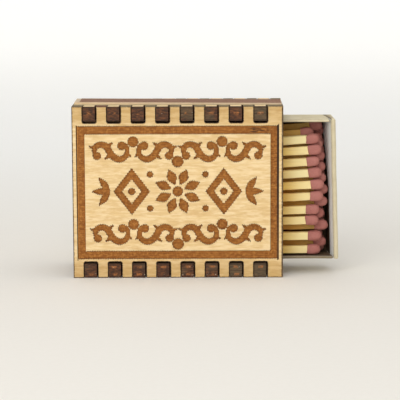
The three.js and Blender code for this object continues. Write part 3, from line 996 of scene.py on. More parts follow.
class Plate:
    """A flat panel cut from sheet, built between its outer and its inner face.

    Args:
        outline: Its outline, counter-clockwise.
        thickness: Its thickness.
        place: Turns outline and depth below the outer face into a place.
        edge: The section of its edge.
    """

    def __init__(
        self,
        outline: Sequence[Flat],
        thickness: float,
        place: Place,
        edge: PlateEdge = PlateEdge(),
    ) -> None:
        """Starts the plate's mesh."""
        self.shell = Shell("burn", "ply")
        self.outline = outline
        self.thickness = thickness
        self.place = place
        self.edge = edge

    def _ring(self, inset: float, depth: float, burn: float) -> list[int]:
        """Adds the outline's points, moved inward, at a depth.

        Args:
            inset: How far they are moved.
            depth: Depth below the outer face.
            burn: Their burn mark.

        Returns:
            The points' indices.
        """
        ply = depth / self.thickness
        points = inset_outline(self.outline, inset)
        return [self.shell.point(self.place(u, v, depth), burn=burn, ply=ply) for u, v in points]

    def walls(self) -> tuple[list[int], list[int]]:
        """Builds the cut edge and both scorched rims.

        Returns:
            The inner rings of the outer and the inner face, still open.
        """
        edge, deep = self.edge, self.thickness
        rings = [
            self._ring(edge.chamfer + edge.rim, 0.0, 0.0),
            self._ring(edge.chamfer, 0.0, 1.0),
            self._ring(0.0, edge.chamfer, 1.0),
            self._ring(0.0, deep - edge.chamfer, 1.0),
            self._ring(edge.chamfer, deep, 1.0),
            self._ring(edge.chamfer + edge.rim, deep, 0.0),
        ]
        finishes = [Plank.FACE, Plank.CUT, Plank.CUT, Plank.CUT, Plank.FACE]
        for first, second, finish in zip(rings, rings[1:], finishes):
            self.shell.band(first, second, finish)
        return rings[0], rings[-1]

    def close(
        self,
        ring: Sequence[int],
        depth: float,
        cells: Sequence[Sequence[Flat]] = (),
        deep: float = 0.0,
        burn: Callable[[Flat], float] | None = None,
    ) -> None:
        """Closes a face and sinks cells into it.

        Args:
            ring: The face's open ring.
            depth: Depth of the face below the outer one.
            cells: The engraved cells, as small closed outlines that may touch or overlap.
            deep: How deep they are.
            burn: Gives the burn mark of a place on their floor.
        """
        points = [Vector(p) for p in inset_outline(self.outline, self.edge.chamfer + self.edge.rim)]
        faces = [list(range(len(points)))]
        known: dict[Flat, int] = {}
        for cell in cells:
            corners = []
            for u, v in cell:
                key = (round(u, 4), round(v, 4))
                if key not in known:
                    known[key] = len(points)
                    points.append(Vector(key))
                corners.append(known[key])
            faces.append(corners)
        places, _, triangles, sources, _, owners = delaunay_2d_cdt(points, [], faces, 1, TOUCH)
        raised: dict[int, int] = {}
        sunk: dict[int, int] = {}
        for index, origin in enumerate(sources):
            on_ring = [i for i in origin if i < len(ring)]
            if on_ring:
                raised[index] = ring[on_ring[0]]

        def corner(index: int, low: bool) -> int:
            """Gives the point at a place, and adds it if it is new.

            Args:
                index: Number of the place.
                low: Whether it lies on the cells' floor.

            Returns:
                The point's index.
            """
            level, at = (sunk, depth + deep) if low else (raised, depth)
            if index not in level:
                u, v = places[index]
                mark = burn((u, v)) if low else 0.0
                level[index] = self.shell.point(self.place(u, v, at), burn=mark, ply=at / self.thickness)
            return level[index]

        sides: dict[tuple[int, int], bool] = {}
        for triangle, owner in zip(triangles, owners):
            low = any(index > 0 for index in owner)
            self.shell.face([corner(i, low) for i in triangle], Plank.ENGRAVED if low else Plank.FACE)
            for i, first in enumerate(triangle):
                sides[(first, triangle[(i + 1) % len(triangle)])] = low
        for (first, second), low in sides.items():
            if low and sides.get((second, first)) is False:
                lower = (corner(first, True), corner(second, True))
                upper = (corner(second, False), corner(first, False))
                self.shell.face((*lower, *upper), Plank.ENGRAVED)


# The engraving


def curve_through(spine: Sequence[Solid], steps: int) -> list[Vector]:
    """Draws a centripetal Catmull-Rom curve.

    Args:
        spine: The points it goes through.
        steps: How many pieces it is divided into.

    Returns:
        Points along it, ends included.
    """
    points = [Vector(p) for p in spine]
    points = [2 * points[0] - points[1], *points, 2 * points[-1] - points[-2]]
    spans = len(points) - 3
    drawn = []
    for i in range(steps + 1):
        along = spans * i / steps
        span = min(int(along), spans - 1)
        p0, p1, p2, p3 = points[span : span + 4]
        t1 = max((p1 - p0).length, 1e-6) ** 0.5
        t2 = t1 + max((p2 - p1).length, 1e-6) ** 0.5
        t3 = t2 + max((p3 - p2).length, 1e-6) ** 0.5
        t = t1 + (along - span) * (t2 - t1)
        a1 = p0 * (t1 - t) / t1 + p1 * t / t1
        a2 = p1 * (t2 - t) / (t2 - t1) + p2 * (t - t1) / (t2 - t1)
        a3 = p2 * (t3 - t) / (t3 - t2) + p3 * (t - t2) / (t3 - t2)
        b1 = a1 * (t2 - t) / t2 + a2 * t / t2
        b2 = a2 * (t3 - t) / (t3 - t1) + a3 * (t - t1) / (t3 - t1)
        drawn.append(b1 * (t2 - t) / (t2 - t1) + b2 * (t - t1) / (t2 - t1))
    return drawn


def stroke(spine: Sequence[Solid], steps: int) -> list[Flat]:
    """Gives the outline of a brush stroke.

    Args:
        spine: Points of its middle line, each with the stroke's half width there.
        steps: How many pieces it is divided into.

    Returns:
        The closed outline.
    """
    drawn = curve_through(spine, steps)
    left, right = [], []
    for i, point in enumerate(drawn):
        ahead = drawn[min(i + 1, steps)] - drawn[max(i - 1, 0)]
        side = Vector((-ahead.y, ahead.x)).normalized() * point.z
        left.append((point.x + side.x, point.y + side.y))
        right.append((point.x - side.x, point.y - side.y))
    return left + right[::-1]


def disc(x: float, y: float, radius: float, steps: int = 28) -> list[Flat]:
    """Returns: A round outline."""
    turns = [math.tau * i / steps for i in range(steps)]
    return [(x + radius * math.cos(turn), y + radius * math.sin(turn)) for turn in turns]


def rectangle(width: float, height: float) -> list[Flat]:
    """Returns: A rectangle centred on the face."""
    w, h = width / 2, height / 2
    return [(-w, -h), (w, -h), (w, h), (-w, h)]


@dataclass(frozen=True)
class ScrollPair:
    """A pair of mirrored scrolls, measured from its mirror line and its level.

    Each stroke is a list of places with the stroke's half width there.
    """

    # from the outer ball over an arch and a bowl to the curl
    main: tuple[Solid, ...] = (
        (-9.23, -2.47, 0.6), (-9.85, -1.33, 0.62), (-9.45, -0.12, 0.78), (-8.2, 0.42, 0.84),
        (-6.85, -0.05, 0.9), (-6.05, -1.33, 0.88), (-5.11, -2.62, 0.9), (-3.52, -3.38, 0.86),
        (-1.95, -2.66, 0.72), (-1.48, -1.24, 0.62), (-1.8, 0.1, 0.58), (-2.77, 0.5, 0.6),
    )
    # short tapered tips that spring from it
    tips: tuple[tuple[Solid, ...], ...] = (
        ((-9.5, -0.3, 0.6), (-10.6, -0.25, 0.36), (-11.3, 0.05, 0.14)),
        ((-6.5, -0.3, 0.6), (-5.75, 0.5, 0.38), (-5.15, 0.95, 0.16)),
        ((-5.8, -2.2, 0.65), (-6.6, -2.85, 0.4), (-7.3, -3.35, 0.14)),
        ((-1.6, -1.7, 0.6), (-1.0, -2.3, 0.36), (-0.45, -2.75, 0.14)),
    )
    balls: tuple[Solid, ...] = ((-9.23, -2.47, 1.07), (-2.87, 0.1, 1.13))  # the balls that end it
    crown: Solid = (0.0, 1.14, 1.42)  # the ball above the mirror line
    centre: Solid = (0.0, -3.99, 1.5)  # the ball between two pairs
    offset: float = 11.4  # distance from the face's middle to the mirror line
    rows: Flat = (12.05, -9.35)  # level of each row of scrolls

    def outlines(self) -> list[list[Flat]]:
        """Returns: The outlines of both rows of scrolls."""
        shapes = []
        for level in self.rows:
            for middle in (-self.offset, self.offset):
                for side in (-1, 1):
                    shapes += self._half(side, middle, level)
                shapes.append(disc(middle + self.crown[0], level + self.crown[1], self.crown[2]))
            shapes.append(disc(self.centre[0], level + self.centre[1], self.centre[2]))
        return shapes

    def _half(self, side: int, middle: float, level: float) -> list[list[Flat]]:
        """Draws one scroll.

        Args:
            side: 1 as listed, or -1 mirrored.
            middle: Place of its mirror line.
            level: Its level.

        Returns:
            The outlines of its strokes and balls.
        """

        def put(points: Sequence[Solid]) -> list[Solid]:
            """Returns: The points at their place on the face."""
            return [(middle + side * x, level + y, half) for x, y, half in points]

        shapes = [stroke(put(self.main), 72)]
        shapes += [stroke(put(tip), 8) for tip in self.tips]
        shapes += [disc(*ball) for ball in put(self.balls)]
        return shapes


@dataclass(frozen=True)
class CentreMotif:
    """A rosette between two pierced lozenges, closed by a pair of leaf fans."""

    level: float = 0.35  # height above the face's middle
    petals: int = 8  # number of petals
    petal_start: float = 1.9  # distance from the rosette's middle at which they begin
    petal_end: float = 6.1  # distance at which they end
    petal_half: float = 1.25  # half width of a petal
    core: float = 1.35  # radius of the rosette's middle
    lozenge_offset: float = 11.8  # distance of the lozenges from the middle
    lozenge_half: Flat = (4.7, 6.1)  # half width and half height of a lozenge
    lozenge_hole: float = 0.52  # size of its hole, as a share
    lozenge_dot: float = 0.95  # radius of the dot in it
    fan_offset: float = 17.4  # distance of the leaf fans from the middle
    fan_angles: tuple[float, ...] = (-52.0, 0.0, 52.0)  # the directions of a fan's leaves, in degrees
    fan_leaf: float = 4.6  # length of a leaf
    fan_half: float = 0.9  # half width of a leaf
    leaf_foot: float = 0.2  # half width of a petal or leaf at its foot
    leaf_tip: float = 0.12  # its half width at the tip
    spacer: Solid = (7.1, 4.4, 0.85)  # offset, level and radius of the small discs

    def _leaf(self, x: float, angle: float, start: float, end: float, half: float) -> list[Flat]:
        """Draws a leaf that springs from a place at an angle.

        Args:
            x: The place.
            angle: Its direction.
            start: Distance at which it begins.
            end: Distance at which it ends.
            half: Half its width.

        Returns:
            Its outline.
        """
        across, up = math.cos(angle), math.sin(angle)
        widths = ((start, self.leaf_foot), ((start + end) / 2, half), (end, self.leaf_tip))
        return stroke([(x + across * d, self.level + up * d, width) for d, width in widths], 16)

    def _lozenge(self, x: float, share: float, turn: int) -> list[Flat]:
        """Draws a lozenge, walked one way or the other.

        Args:
            x: Its middle.
            share: Its size, as a share.
            turn: 1 for an outline, -1 for a hole.

        Returns:
            Its corners.
        """
        w, h = self.lozenge_half[0] * share, self.lozenge_half[1] * share
        points = [(x + w, self.level), (x, self.level + h), (x - w, self.level), (x, self.level - h)]
        return points[::turn]

    def outlines(self) -> list[list[list[Flat]]]:
        """Returns: The motif's shapes, each as its outline and any holes."""
        shapes = [[disc(0.0, self.level, self.core)]]
        for i in range(self.petals):
            angle = math.tau * (i + 0.5) / self.petals
            shapes.append([self._leaf(0.0, angle, self.petal_start, self.petal_end, self.petal_half)])
        for side in (-1, 1):
            x = side * self.lozenge_offset
            shapes.append([self._lozenge(x, 1.0, 1), self._lozenge(x, self.lozenge_hole, -1)])
            shapes.append([disc(x, self.level, self.lozenge_dot)])
            for degrees in self.fan_angles:
                angle = (0.0 if side > 0 else math.pi) + math.radians(degrees)
                place = side * self.fan_offset
                shapes.append([self._leaf(place, angle, 0.0, self.fan_leaf, self.fan_half)])
            for level in (-self.spacer[1], self.spacer[1]):
                shapes.append([disc(side * self.spacer[0], self.level + level, self.spacer[2])])
        return shapes


@dataclass(frozen=True)
class Raster:
    """The engraving as the laser burns it: upright lines side by side."""

    frame_size: Flat  # width and height of the engraved frame
    band: float  # width of its band
    face_centre: float  # height of the middle of the face
    pitch: float = 0.22  # width of a line
    tooth: float = 0.09  # how far neighbouring lines run apart at their ends
    jitter: float = 0.04  # unsteadiness of a line's ends
    bridge: float = 0.12  # gap in a line that the beam burns through
    shortest: float = 0.1  # length below which a stretch isn't burnt
    spacing: float = 0.09  # distance between the places that darken the outline
    score_overrun: float = 0.3  # how far the outermost lines run past the frame
    rim: float = 0.2  # width of the darker outline
    depth: float = 0.35  # depth of the engraving
    seed: int = 7  # seed of the unsteadiness

    def shapes(self) -> list[list[list[Flat]]]:
        """Returns: All shapes to burn, each as its outline and any holes."""
        width, height = self.frame_size
        hole = rectangle(width - 2 * self.band, height - 2 * self.band)
        shapes = [[rectangle(width, height), hole[::-1]]]
        shapes += [[outline] for outline in ScrollPair().outlines()]
        return shapes + CentreMotif().outlines()

    @staticmethod
    def _crossings(loops: Sequence[Sequence[Flat]], x: float) -> list[Flat]:
        """Finds the stretches of an upright line that lie in a shape.

        Args:
            loops: The shape's outline and any holes.
            x: Place of the line.

        Returns:
            The low and the high end of each stretch.
        """
        hits = []
        for loop in loops:
            for (x0, y0), (x1, y1) in zip(loop, [*loop[1:], loop[0]]):
                if (x0 <= x) != (x1 <= x):
                    hits.append((y0 + (x - x0) * (y1 - y0) / (x1 - x0), 1 if x1 > x0 else -1))
        stretches, winding, start = [], 0, 0.0
        for y, turn in sorted(hits):
            if winding == 0:
                start = y
            winding += turn
            if winding == 0:
                stretches.append((start, y))
        return stretches

    def stretches(self) -> list[tuple[float, float, list[Flat]]]:
        """Returns: Each line's left and right side and the stretches burnt along it."""
        draw = random.Random(self.seed)
        shapes = self.shapes()
        count = round(self.frame_size[0] / self.pitch)
        step = self.frame_size[0] / count
        lines = []
        for i in range(count):
            left = -self.frame_size[0] / 2 + i * step
            found = sorted(s for loops in shapes for s in self._crossings(loops, left + step / 2))
            merged: list[list[float]] = []
            for low, high in found:
                if merged and low <= merged[-1][1] + self.bridge:
                    merged[-1][1] = max(merged[-1][1], high)
                else:
                    merged.append([low, high])
            lean = self.tooth if i % 2 else -self.tooth
            burnt = []
            for low, high in merged:
                low += lean + draw.uniform(-self.jitter, self.jitter)
                high += lean + draw.uniform(-self.jitter, self.jitter)
                if i == 0 or i >= count - 2:
                    low, high = low - self.score_overrun, high + self.score_overrun
                if high - low > self.shortest:
                    burnt.append((low, high))
            lines.append((left, left + step, burnt))
        return lines

    def cells(self) -> list[list[Flat]]:
        """Returns: The burnt cells. A long one is cut in three, for its dark ends."""
        cells = []
        for left, right, burnt in self.stretches():
            for low, high in burnt:
                cuts = [low, high]
                if high - low > 3 * self.rim:
                    cuts = [low, low + self.rim, high - self.rim, high]
                for start, end in zip(cuts, cuts[1:]):
                    z0, z1 = self.face_centre + start, self.face_centre + end
                    cells.append([(left, z0), (right, z0), (right, z1), (left, z1)])
        return cells

    def outline_burn(self) -> Callable[[Flat], float]:
        """Returns: What gives the darkness of the outline at a place on the floor."""
        edges = []
        lines = self.stretches()
        for index, (left, right, burnt) in enumerate(lines):
            before = lines[index - 1][2] if index else []
            after = lines[index + 1][2] if index + 1 < len(lines) else []
            for low, high in burnt:
                edges += [((left + right) / 2, end) for end in (low, high)]
                count = max(2, round((high - low) / self.spacing))
                levels = [low + (high - low) * i / count for i in range(count + 1)]
                for x, beside in ((left, before), (right, after)):
                    edges += [(x, y) for y in levels if not any(a <= y <= b for a, b in beside)]
        tree = kdtree.KDTree(len(edges))
        for i, (x, y) in enumerate(edges):
            tree.insert((x, y + self.face_centre, 0.0), i)
        tree.balance()

        def burn(place: Flat) -> float:
            """Returns: 1 at an outline, fading to 0 within its rim."""
            distance = tree.find((place[0], place[1], 0.0))[2]
            return max(1.0 - distance / self.rim, 0.0)

        return burn


@dataclass
class Sleeve:
    """The four glued plywood panels."""

    finishes: Finishes  # the object's materials
    frame_side: float = 1.05  # distance of the engraved frame from the panel's ends
    frame_margin: float = 0.7  # its distance from the roots of the notches
    band: float = 2.15  # width of its band
    tab_least: float = 0.02  # the least that a tab's end stays short of the face
    tab_short: float = 0.12  # the most that it does
    seed: int = 3  # seed of the tabs' lengths

    def __post_init__(self) -> None:
        """Reads the sleeve's sizes from its CAD nodes."""
        self.low, self.high = box_mm("front_panel")
        self.top = box_mm("top_panel")[1]
        self.joint = CombJoint(self.high.x - self.low.x, self.high.y - self.low.y)
        self.height = self.high.z - self.low.z
        self.depth = self.top.y * 2

    def build(self) -> None:
        """Builds the four panels."""
        self._front()
        self._back()
        cut = self.finishes.bottom_cut
        self._narrow("bottom_ply_panel", "bottom_panel", cut, lambda u, v, d: (u, v, d))
        cut = self.finishes.top_cut
        self._narrow("top_ply_panel", "top_panel", cut, lambda u, v, d: (u, v, self.height - d))

    def _front(self) -> None:
        """Builds the engraved panel."""
        plate = Plate(
            self.joint.wide_outline(self.height),
            self.joint.ply,
            lambda u, v, d: (u, self.low.y + d, v),
        )
        outer, inner = plate.walls()
        inset = self.joint.ply + self.joint.root_gap + self.frame_margin
        size = (self.joint.length - 2 * self.frame_side, self.height - 2 * inset)
        raster = Raster(size, self.band, self.height / 2)
        plate.close(outer, 0.0, raster.cells(), raster.depth, raster.outline_burn())
        plate.close(inner, self.joint.ply)
        materials = [self.finishes.veneer, self.finishes.upright_cut, self.finishes.engraved]
        piece = plate.shell.build("engraved_front_panel", materials)
        settle(piece, Body.SLEEVE, "engraved_plywood", "front_panel")

    def _back(self) -> None:
        """Builds the plain panel: the same cut, turned round."""
        plate = Plate(
            self.joint.wide_outline(self.height),
            self.joint.ply,
            lambda u, v, d: (-u, -self.low.y - d, v),
        )
        outer, inner = plate.walls()
        plate.close(outer, 0.0)
        plate.close(inner, self.joint.ply)
        piece = plate.shell.build("plain_back_panel", [self.finishes.veneer, self.finishes.upright_cut])
        settle(piece, Body.SLEEVE, "plywood", "back_panel")

    def _narrow(self, name: str, node: str, cut: Material, place: Place) -> None:
        """Builds a narrow panel with tabs.

        Args:
            name: The piece's name.
            node: Its CAD node.
            cut: Material of its cut edge.
            place: Turns outline and depth below the outer face into a place.
        """
        draw = random.Random(f"{node}{self.seed}")
        tabs = 2 * len(self.joint.starts())
        lengths = [draw.uniform(self.tab_least, self.tab_short) for _ in range(tabs)]
        tunnel = self.depth - 2 * self.joint.ply
        outline = self.joint.narrow_outline(tunnel, lambda i: lengths[i])
        plate = Plate(outline, self.joint.ply, place)
        outer, inner = plate.walls()
        plate.close(outer, 0.0)
        plate.close(inner, self.joint.ply)
        piece = plate.shell.build(name, [self.finishes.veneer, cut])
        settle(piece, Body.SLEEVE, "plywood", node)


@dataclass
class StrikerStrip:
    """The card strip with its abrasive coat, glued a little askew on the top panel."""

    finishes: Finishes  # the object's materials
    width: float = 9.4  # width of the strip
    card: float = 0.36  # thickness of the card
    coat: float = 0.06  # thickness of the coat
    skew: float = -4.3  # how far it is turned, in degrees
    bare_end: float = 1.3  # length of bare card at the left end
    coat_edge: float = 0.15  # bare card along the other edges
    ragged: float = 0.09  # unevenness of its cut edges
    step: float = 0.8  # distance between points along the edges
    soft_inset: float = 0.03  # how far the pressed upper edges are rounded inward
    soft_drop: float = 0.02  # how far they are rounded downward
    seeds: Flat = (1.0, 5.0)  # seeds of the card's and the coat's unevenness

    def _outline(self, left: float, right: float, half: float, middle: float, seed: float) -> list[Flat]:
        """Draws an outline that is skewed, with ends along Y and uneven long edges.

        Args:
            left: Its left end.
            right: Its right end.
            half: Half its width.
            middle: Place of its middle along Y.
            seed: Seed of the unevenness.

        Returns:
            The outline.
        """
        slope, reach = math.tan(math.radians(self.skew)), half / math.cos(math.radians(self.skew))
        count = round((right - left) / self.step)
        near, far = [], []
        for i in range(count + 1):
            x = left + (right - left) * i / count
            for edge, side in ((near, -1), (far, 1)):
                uneven = self.ragged * unevenness(x * 0.9, side * 7.0, seed)
                edge.append((x, middle + slope * x + side * (reach - uneven)))
        return near + far[::-1]

    def build(self) -> None:
        """Builds the strip."""
        low, high = box_mm("striker_strip")
        middle = (low.y + high.y) / 2
        shell = Shell("burn", "inner", "board")
        card = self._outline(low.x, high.x, self.width / 2, middle, self.seeds[0])
        left, right = low.x + self.bare_end, high.x - self.coat_edge
        coat = self._outline(left, right, self.width / 2 - self.coat_edge, middle, self.seeds[1])
        layers = (
            (card, low.z, low.z + self.card, Strip.CARD),
            (coat, low.z + self.card / 2, low.z + self.card + self.coat, Strip.COAT),
        )
        for outline, bottom, top, finish in layers:
            profile = ((0.0, bottom), (0.0, top - self.soft_drop), (self.soft_inset, top))
            rings = []
            for inset, level in profile:
                rings.append([shell.point((x, y, level)) for x, y in inset_outline(outline, inset)])
            shell.tube(rings, finish)
        piece = shell.build("striker_strip_card", [self.finishes.strip_card, self.finishes.coat])
        settle(piece, Body.SLEEVE, "striker", "striker_strip")


@dataclass(frozen=True)
class CardWall:
    """How one of the drawer's walls stands and looks."""

    thickness: float  # its thickness, rolled double
    length: float  # its length
    place: Place  # turns distance inward, height and distance along into a place
    seed: float  # which wander it gets
    shade_line: float  # height of the painted shade line inside, as a share of the wall; below it the inside is painted shade in the dark board tone
    shade_run: float = 0.0  # share of its length over which that line drops to the floor, if it does
    bulge: float = 0.0  # how far the inner face stands off the foot at the wall's high end
    rim_shade: float = 0.0  # painted shade: how far the dark board tone is mixed into the rim
    raw_end: float = 0.0  # how far it shows on the outer side of the ends

    def shade_edge(self, share: float) -> float:
        """Returns: Height of the painted shade line, by the share of the wall's length."""
        return self.shade_line * min(1.0, (1 - share) / self.shade_run) if self.shade_run else self.shade_line


@dataclass
class CardDrawer:
    """The folded card drawer, open toward the viewer."""

    finishes: Finishes  # the object's materials
    card: float = 0.45  # thickness of the floor
    side_wall: float = 0.6  # thickness of the long walls, rolled double
    end_wall: float = 1.15  # thickness of the end walls, rolled double
    flare_low: float = 7.2  # how far the end walls lean out at their low end, in degrees
    flare_high: float = 2.3  # how far they lean out at their high end
    flare_play: float = 0.04  # what is left between their rims and the CAD's ends
    shade_line: float = 0.5  # height of the painted shade line inside an end wall, as a share of the wall; below it the inside is painted shade
    shade_run: float = 0.5  # share of the wall's length over which that line drops to the floor
    top_shade_line: float = 0.6  # height of that painted shade line in the top wall
    bottom_shade_line: float = 0.96  # its height in the bottom wall
    bulge: float = 1.35  # how far the inner face stands off an end wall's foot at its high end
    rim_shade: float = 0.75  # painted shade: how far the dark board tone is mixed into the bottom wall's rim
    raw_end: float = 0.9  # how far it shows on the ends of the long walls
    slit: float = 0.42  # gap between a long wall's end and an end wall
    foot: float = 0.3  # height of the walls' feet in the floor, as a share of its thickness
    floor_inset: float = 0.02  # how far the floor stays inside the walls
    soft: float = 0.1  # how far the floor's edges are rounded off
    rows: int = 22  # how many rows of faces each side of a wall has
    arc: int = 8  # how many its rounded rim has
    wave: float = 0.16  # how far the walls wander
    step: float = 0.7  # distance between rings along a wall
    # distances from a wall's end between which it is rounded off
    end_turns: tuple[float, ...] = (0.0, 0.06, 0.16, 0.3)
    end_share: float = 0.72  # thickness left at the end, as a share

    def __post_init__(self) -> None:
        """Works out the walls' places from the drawer's CAD node."""
        self.low, self.high = box_mm("drawer_tray")
        self.tall = self.high.y - self.low.y
        self.wide = self.high.z - self.low.z
        reach = self._lean(0.0) * (self.tall - self.end_wall / 2) + self.flare_play
        self.left, self.right = self.low.x + reach, self.high.x - reach
        self.start = self.left + self.end_wall + self.slit
        self.length = self.right - self.end_wall - self.slit - self.start
        self.shell = Shell("burn", "inner", "board")

    def _lean(self, share: float) -> float:
        """Returns: An end wall's drift for each millimetre of height, by its share from the low end."""
        low, high = math.tan(math.radians(self.flare_low)), math.tan(math.radians(self.flare_high))
        return low + (high - low) * share

    def _section(self, thickness: float) -> list[Solid]:
        """Gives a wall's section from its foot outside, over the rim, to its foot inside.

        Args:
            thickness: The wall's thickness.

        Returns:
            Distance inward, height above the foot and inner mark of each point.
        """
        radius, foot = thickness / 2, self.card * self.foot
        straight = self.tall - radius
        heights = [foot + (straight - foot) * i / self.rows for i in range(self.rows + 1)]
        points = [(0.0, height, 0.0) for height in heights]
        for i in range(1, self.arc):
            angle = math.pi * i / self.arc
            points.append((radius * (1 - math.cos(angle)), straight + radius * math.sin(angle), 0.0))
        for height in reversed(heights):
            points.append((thickness, height, min(1.0, 4.0 * (1 - height / straight) + 0.35)))
        return points

    def _wall(self, wall: CardWall) -> None:
        """Sweeps a wall's section along it, with rounded ends and a slight wander.

        Args:
            wall: The wall.
        """
        section, length, turns = self._section(wall.thickness), wall.length, self.end_turns
        crest, middle = section[self.rows][1], wall.thickness / 2
        count = round(length / self.step)
        stations = [length * i / count for i in range(1, count)]
        stations += [*turns, *(length - turn for turn in turns)]
        rings = []
        for along in sorted(stations):
            share = along / length
            end = min(1.0, min(along, length - along) / turns[-1])
            full = self.end_share + (1 - self.end_share) * math.sin(end * math.pi / 2)
            ring = []
            for inward, height, inner in section:
                up = height / self.tall
                inside = inward >= wall.thickness
                drift = self.wave * up * unevenness(along * 0.11, up * 1.1, wall.seed)
                sag = self.wave * 0.8 * up**3 * unevenness(along * 0.3, 3.0, wall.seed)
                across = middle + (inward - middle) * full + drift
                if inside:
                    across += wall.bulge * share * (1 - height / crest)
                at = wall.place(across, height - (1 - full) * up * 0.5 - sag, along)
                if end < turns[-1]:
                    inner, bare_and_shaded = 0.0, self.raw_end if inside else wall.raw_end
                # below the shade line, the inside gets the full dark tone as painted shade
                elif inside and up < wall.shade_edge(share):
                    bare_and_shaded = 1.0
                else:
                    # on the rim the dark tone is painted shade
                    bare_and_shaded = wall.rim_shade if height > crest else 0.0
                crease = 0.75 if abs(height - crest) < 0.01 else 0.0
                ring.append(self.shell.point(at, inner=inner, board=bare_and_shaded, burn=crease))
            rings.append(ring)
        self.shell.tube(rings)

    def _floor(self) -> None:
        """Adds the floor, a sheet with rounded edges, whose inner face carries the dark tone as painted
        shade.
        """
        left, right = self.left + self.floor_inset, self.right - self.floor_inset
        low, high = self.low.z + self.floor_inset, self.high.z - self.floor_inset
        outline = [(left, low), (right, low), (right, high), (left, high)]
        soft, fine = self.soft, self.soft / 2
        # the last ring, on the inner face, takes the full dark tone: painted shade on the floor
        profile = ((soft, 0.0, 0.0), (0.0, soft, 0.0), (0.0, self.card - fine, 0.0), (fine, self.card, 1.0))
        rings = []
        for inset, height, board in profile:
            points = inset_outline(outline, inset)
            rings.append([self.shell.point((x, self.high.y - height, z), board=board) for x, z in points])
        self.shell.tube(rings)

    def _long_wall(self, at_top: bool) -> Place:
        """Places a long wall, whose ends follow the lean of the end walls.

        Args:
            at_top: Whether it is the top wall.

        Returns:
            What turns distance inward, height and distance along into a place.
        """
        left, right = self._lean(0.0 if at_top else 1.0), self._lean(1.0 if at_top else 0.0)

        def place(inward: float, height: float, along: float) -> Solid:
            """Gives the place of a point of the wall.

            Args:
                inward: Its distance inward.
                height: Its height above the floor's underside.
                along: Its distance along.

            Returns:
                The place.
            """
            splay = height * (right * along - left * (self.length - along)) / self.length
            z = self.high.z - inward if at_top else self.low.z + inward
            return (self.start + along + splay, self.high.y - height, z)

        return place

    def _end_wall(self, at_right: bool) -> Place:
        """Places an end wall, which leans out less at its high end.

        Args:
            at_right: Whether it is the right one.

        Returns:
            What turns distance inward, height and distance along into a place.
        """

        def place(inward: float, height: float, along: float) -> Solid:
            """Gives the place of a point of the wall.

            Args:
                inward: Its distance inward.
                height: Its height above the floor's underside.
                along: Its distance along.

            Returns:
                The place.
            """
            out = height * self._lean(along / self.wide) - inward
            if at_right:
                return (self.right + out, self.high.y - height, self.low.z + along)
            return (self.left - out, self.high.y - height, self.high.z - along)

        return place

    def build(self) -> None:
        """Builds the drawer."""
        self._floor()
        # each long wall gets its painted shade line inside, and the bottom wall gets painted shade on its
        # rim
        sides = ((True, 1.0, self.top_shade_line, 0.0), (False, 4.0, self.bottom_shade_line, self.rim_shade))
        for at_top, seed, shade_line, wear_and_shade in sides:
            place, raw = self._long_wall(at_top), self.raw_end
            self._wall(CardWall(self.side_wall, self.length, place, seed, shade_line, rim_shade=wear_and_shade, raw_end=raw))
        for at_right, seed in ((True, 8.0), (False, 12.0)):
            place, shade_line = self._end_wall(at_right), (self.shade_line, self.shade_run)
            self._wall(CardWall(self.end_wall, self.wide, place, seed, *shade_line, bulge=self.bulge))
        piece = self.shell.build("folded_card_drawer", [self.finishes.tray_card], smooth=50)
        settle(piece, Body.DRAWER, "card", "drawer_tray")


# Matches


@dataclass(frozen=True)
class MatchSkin:
    """How uneven the copies of a master piece are."""

    seed: int  # seed of their tones and sizes
    roughness: float  # fine unevenness of their surface
    size_spread: float  # how much thinner the thinnest is, as a share
    unevenness: float = 0.24  # broad unevenness
    lump_scale: float = 0.3  # how close its lumps lie


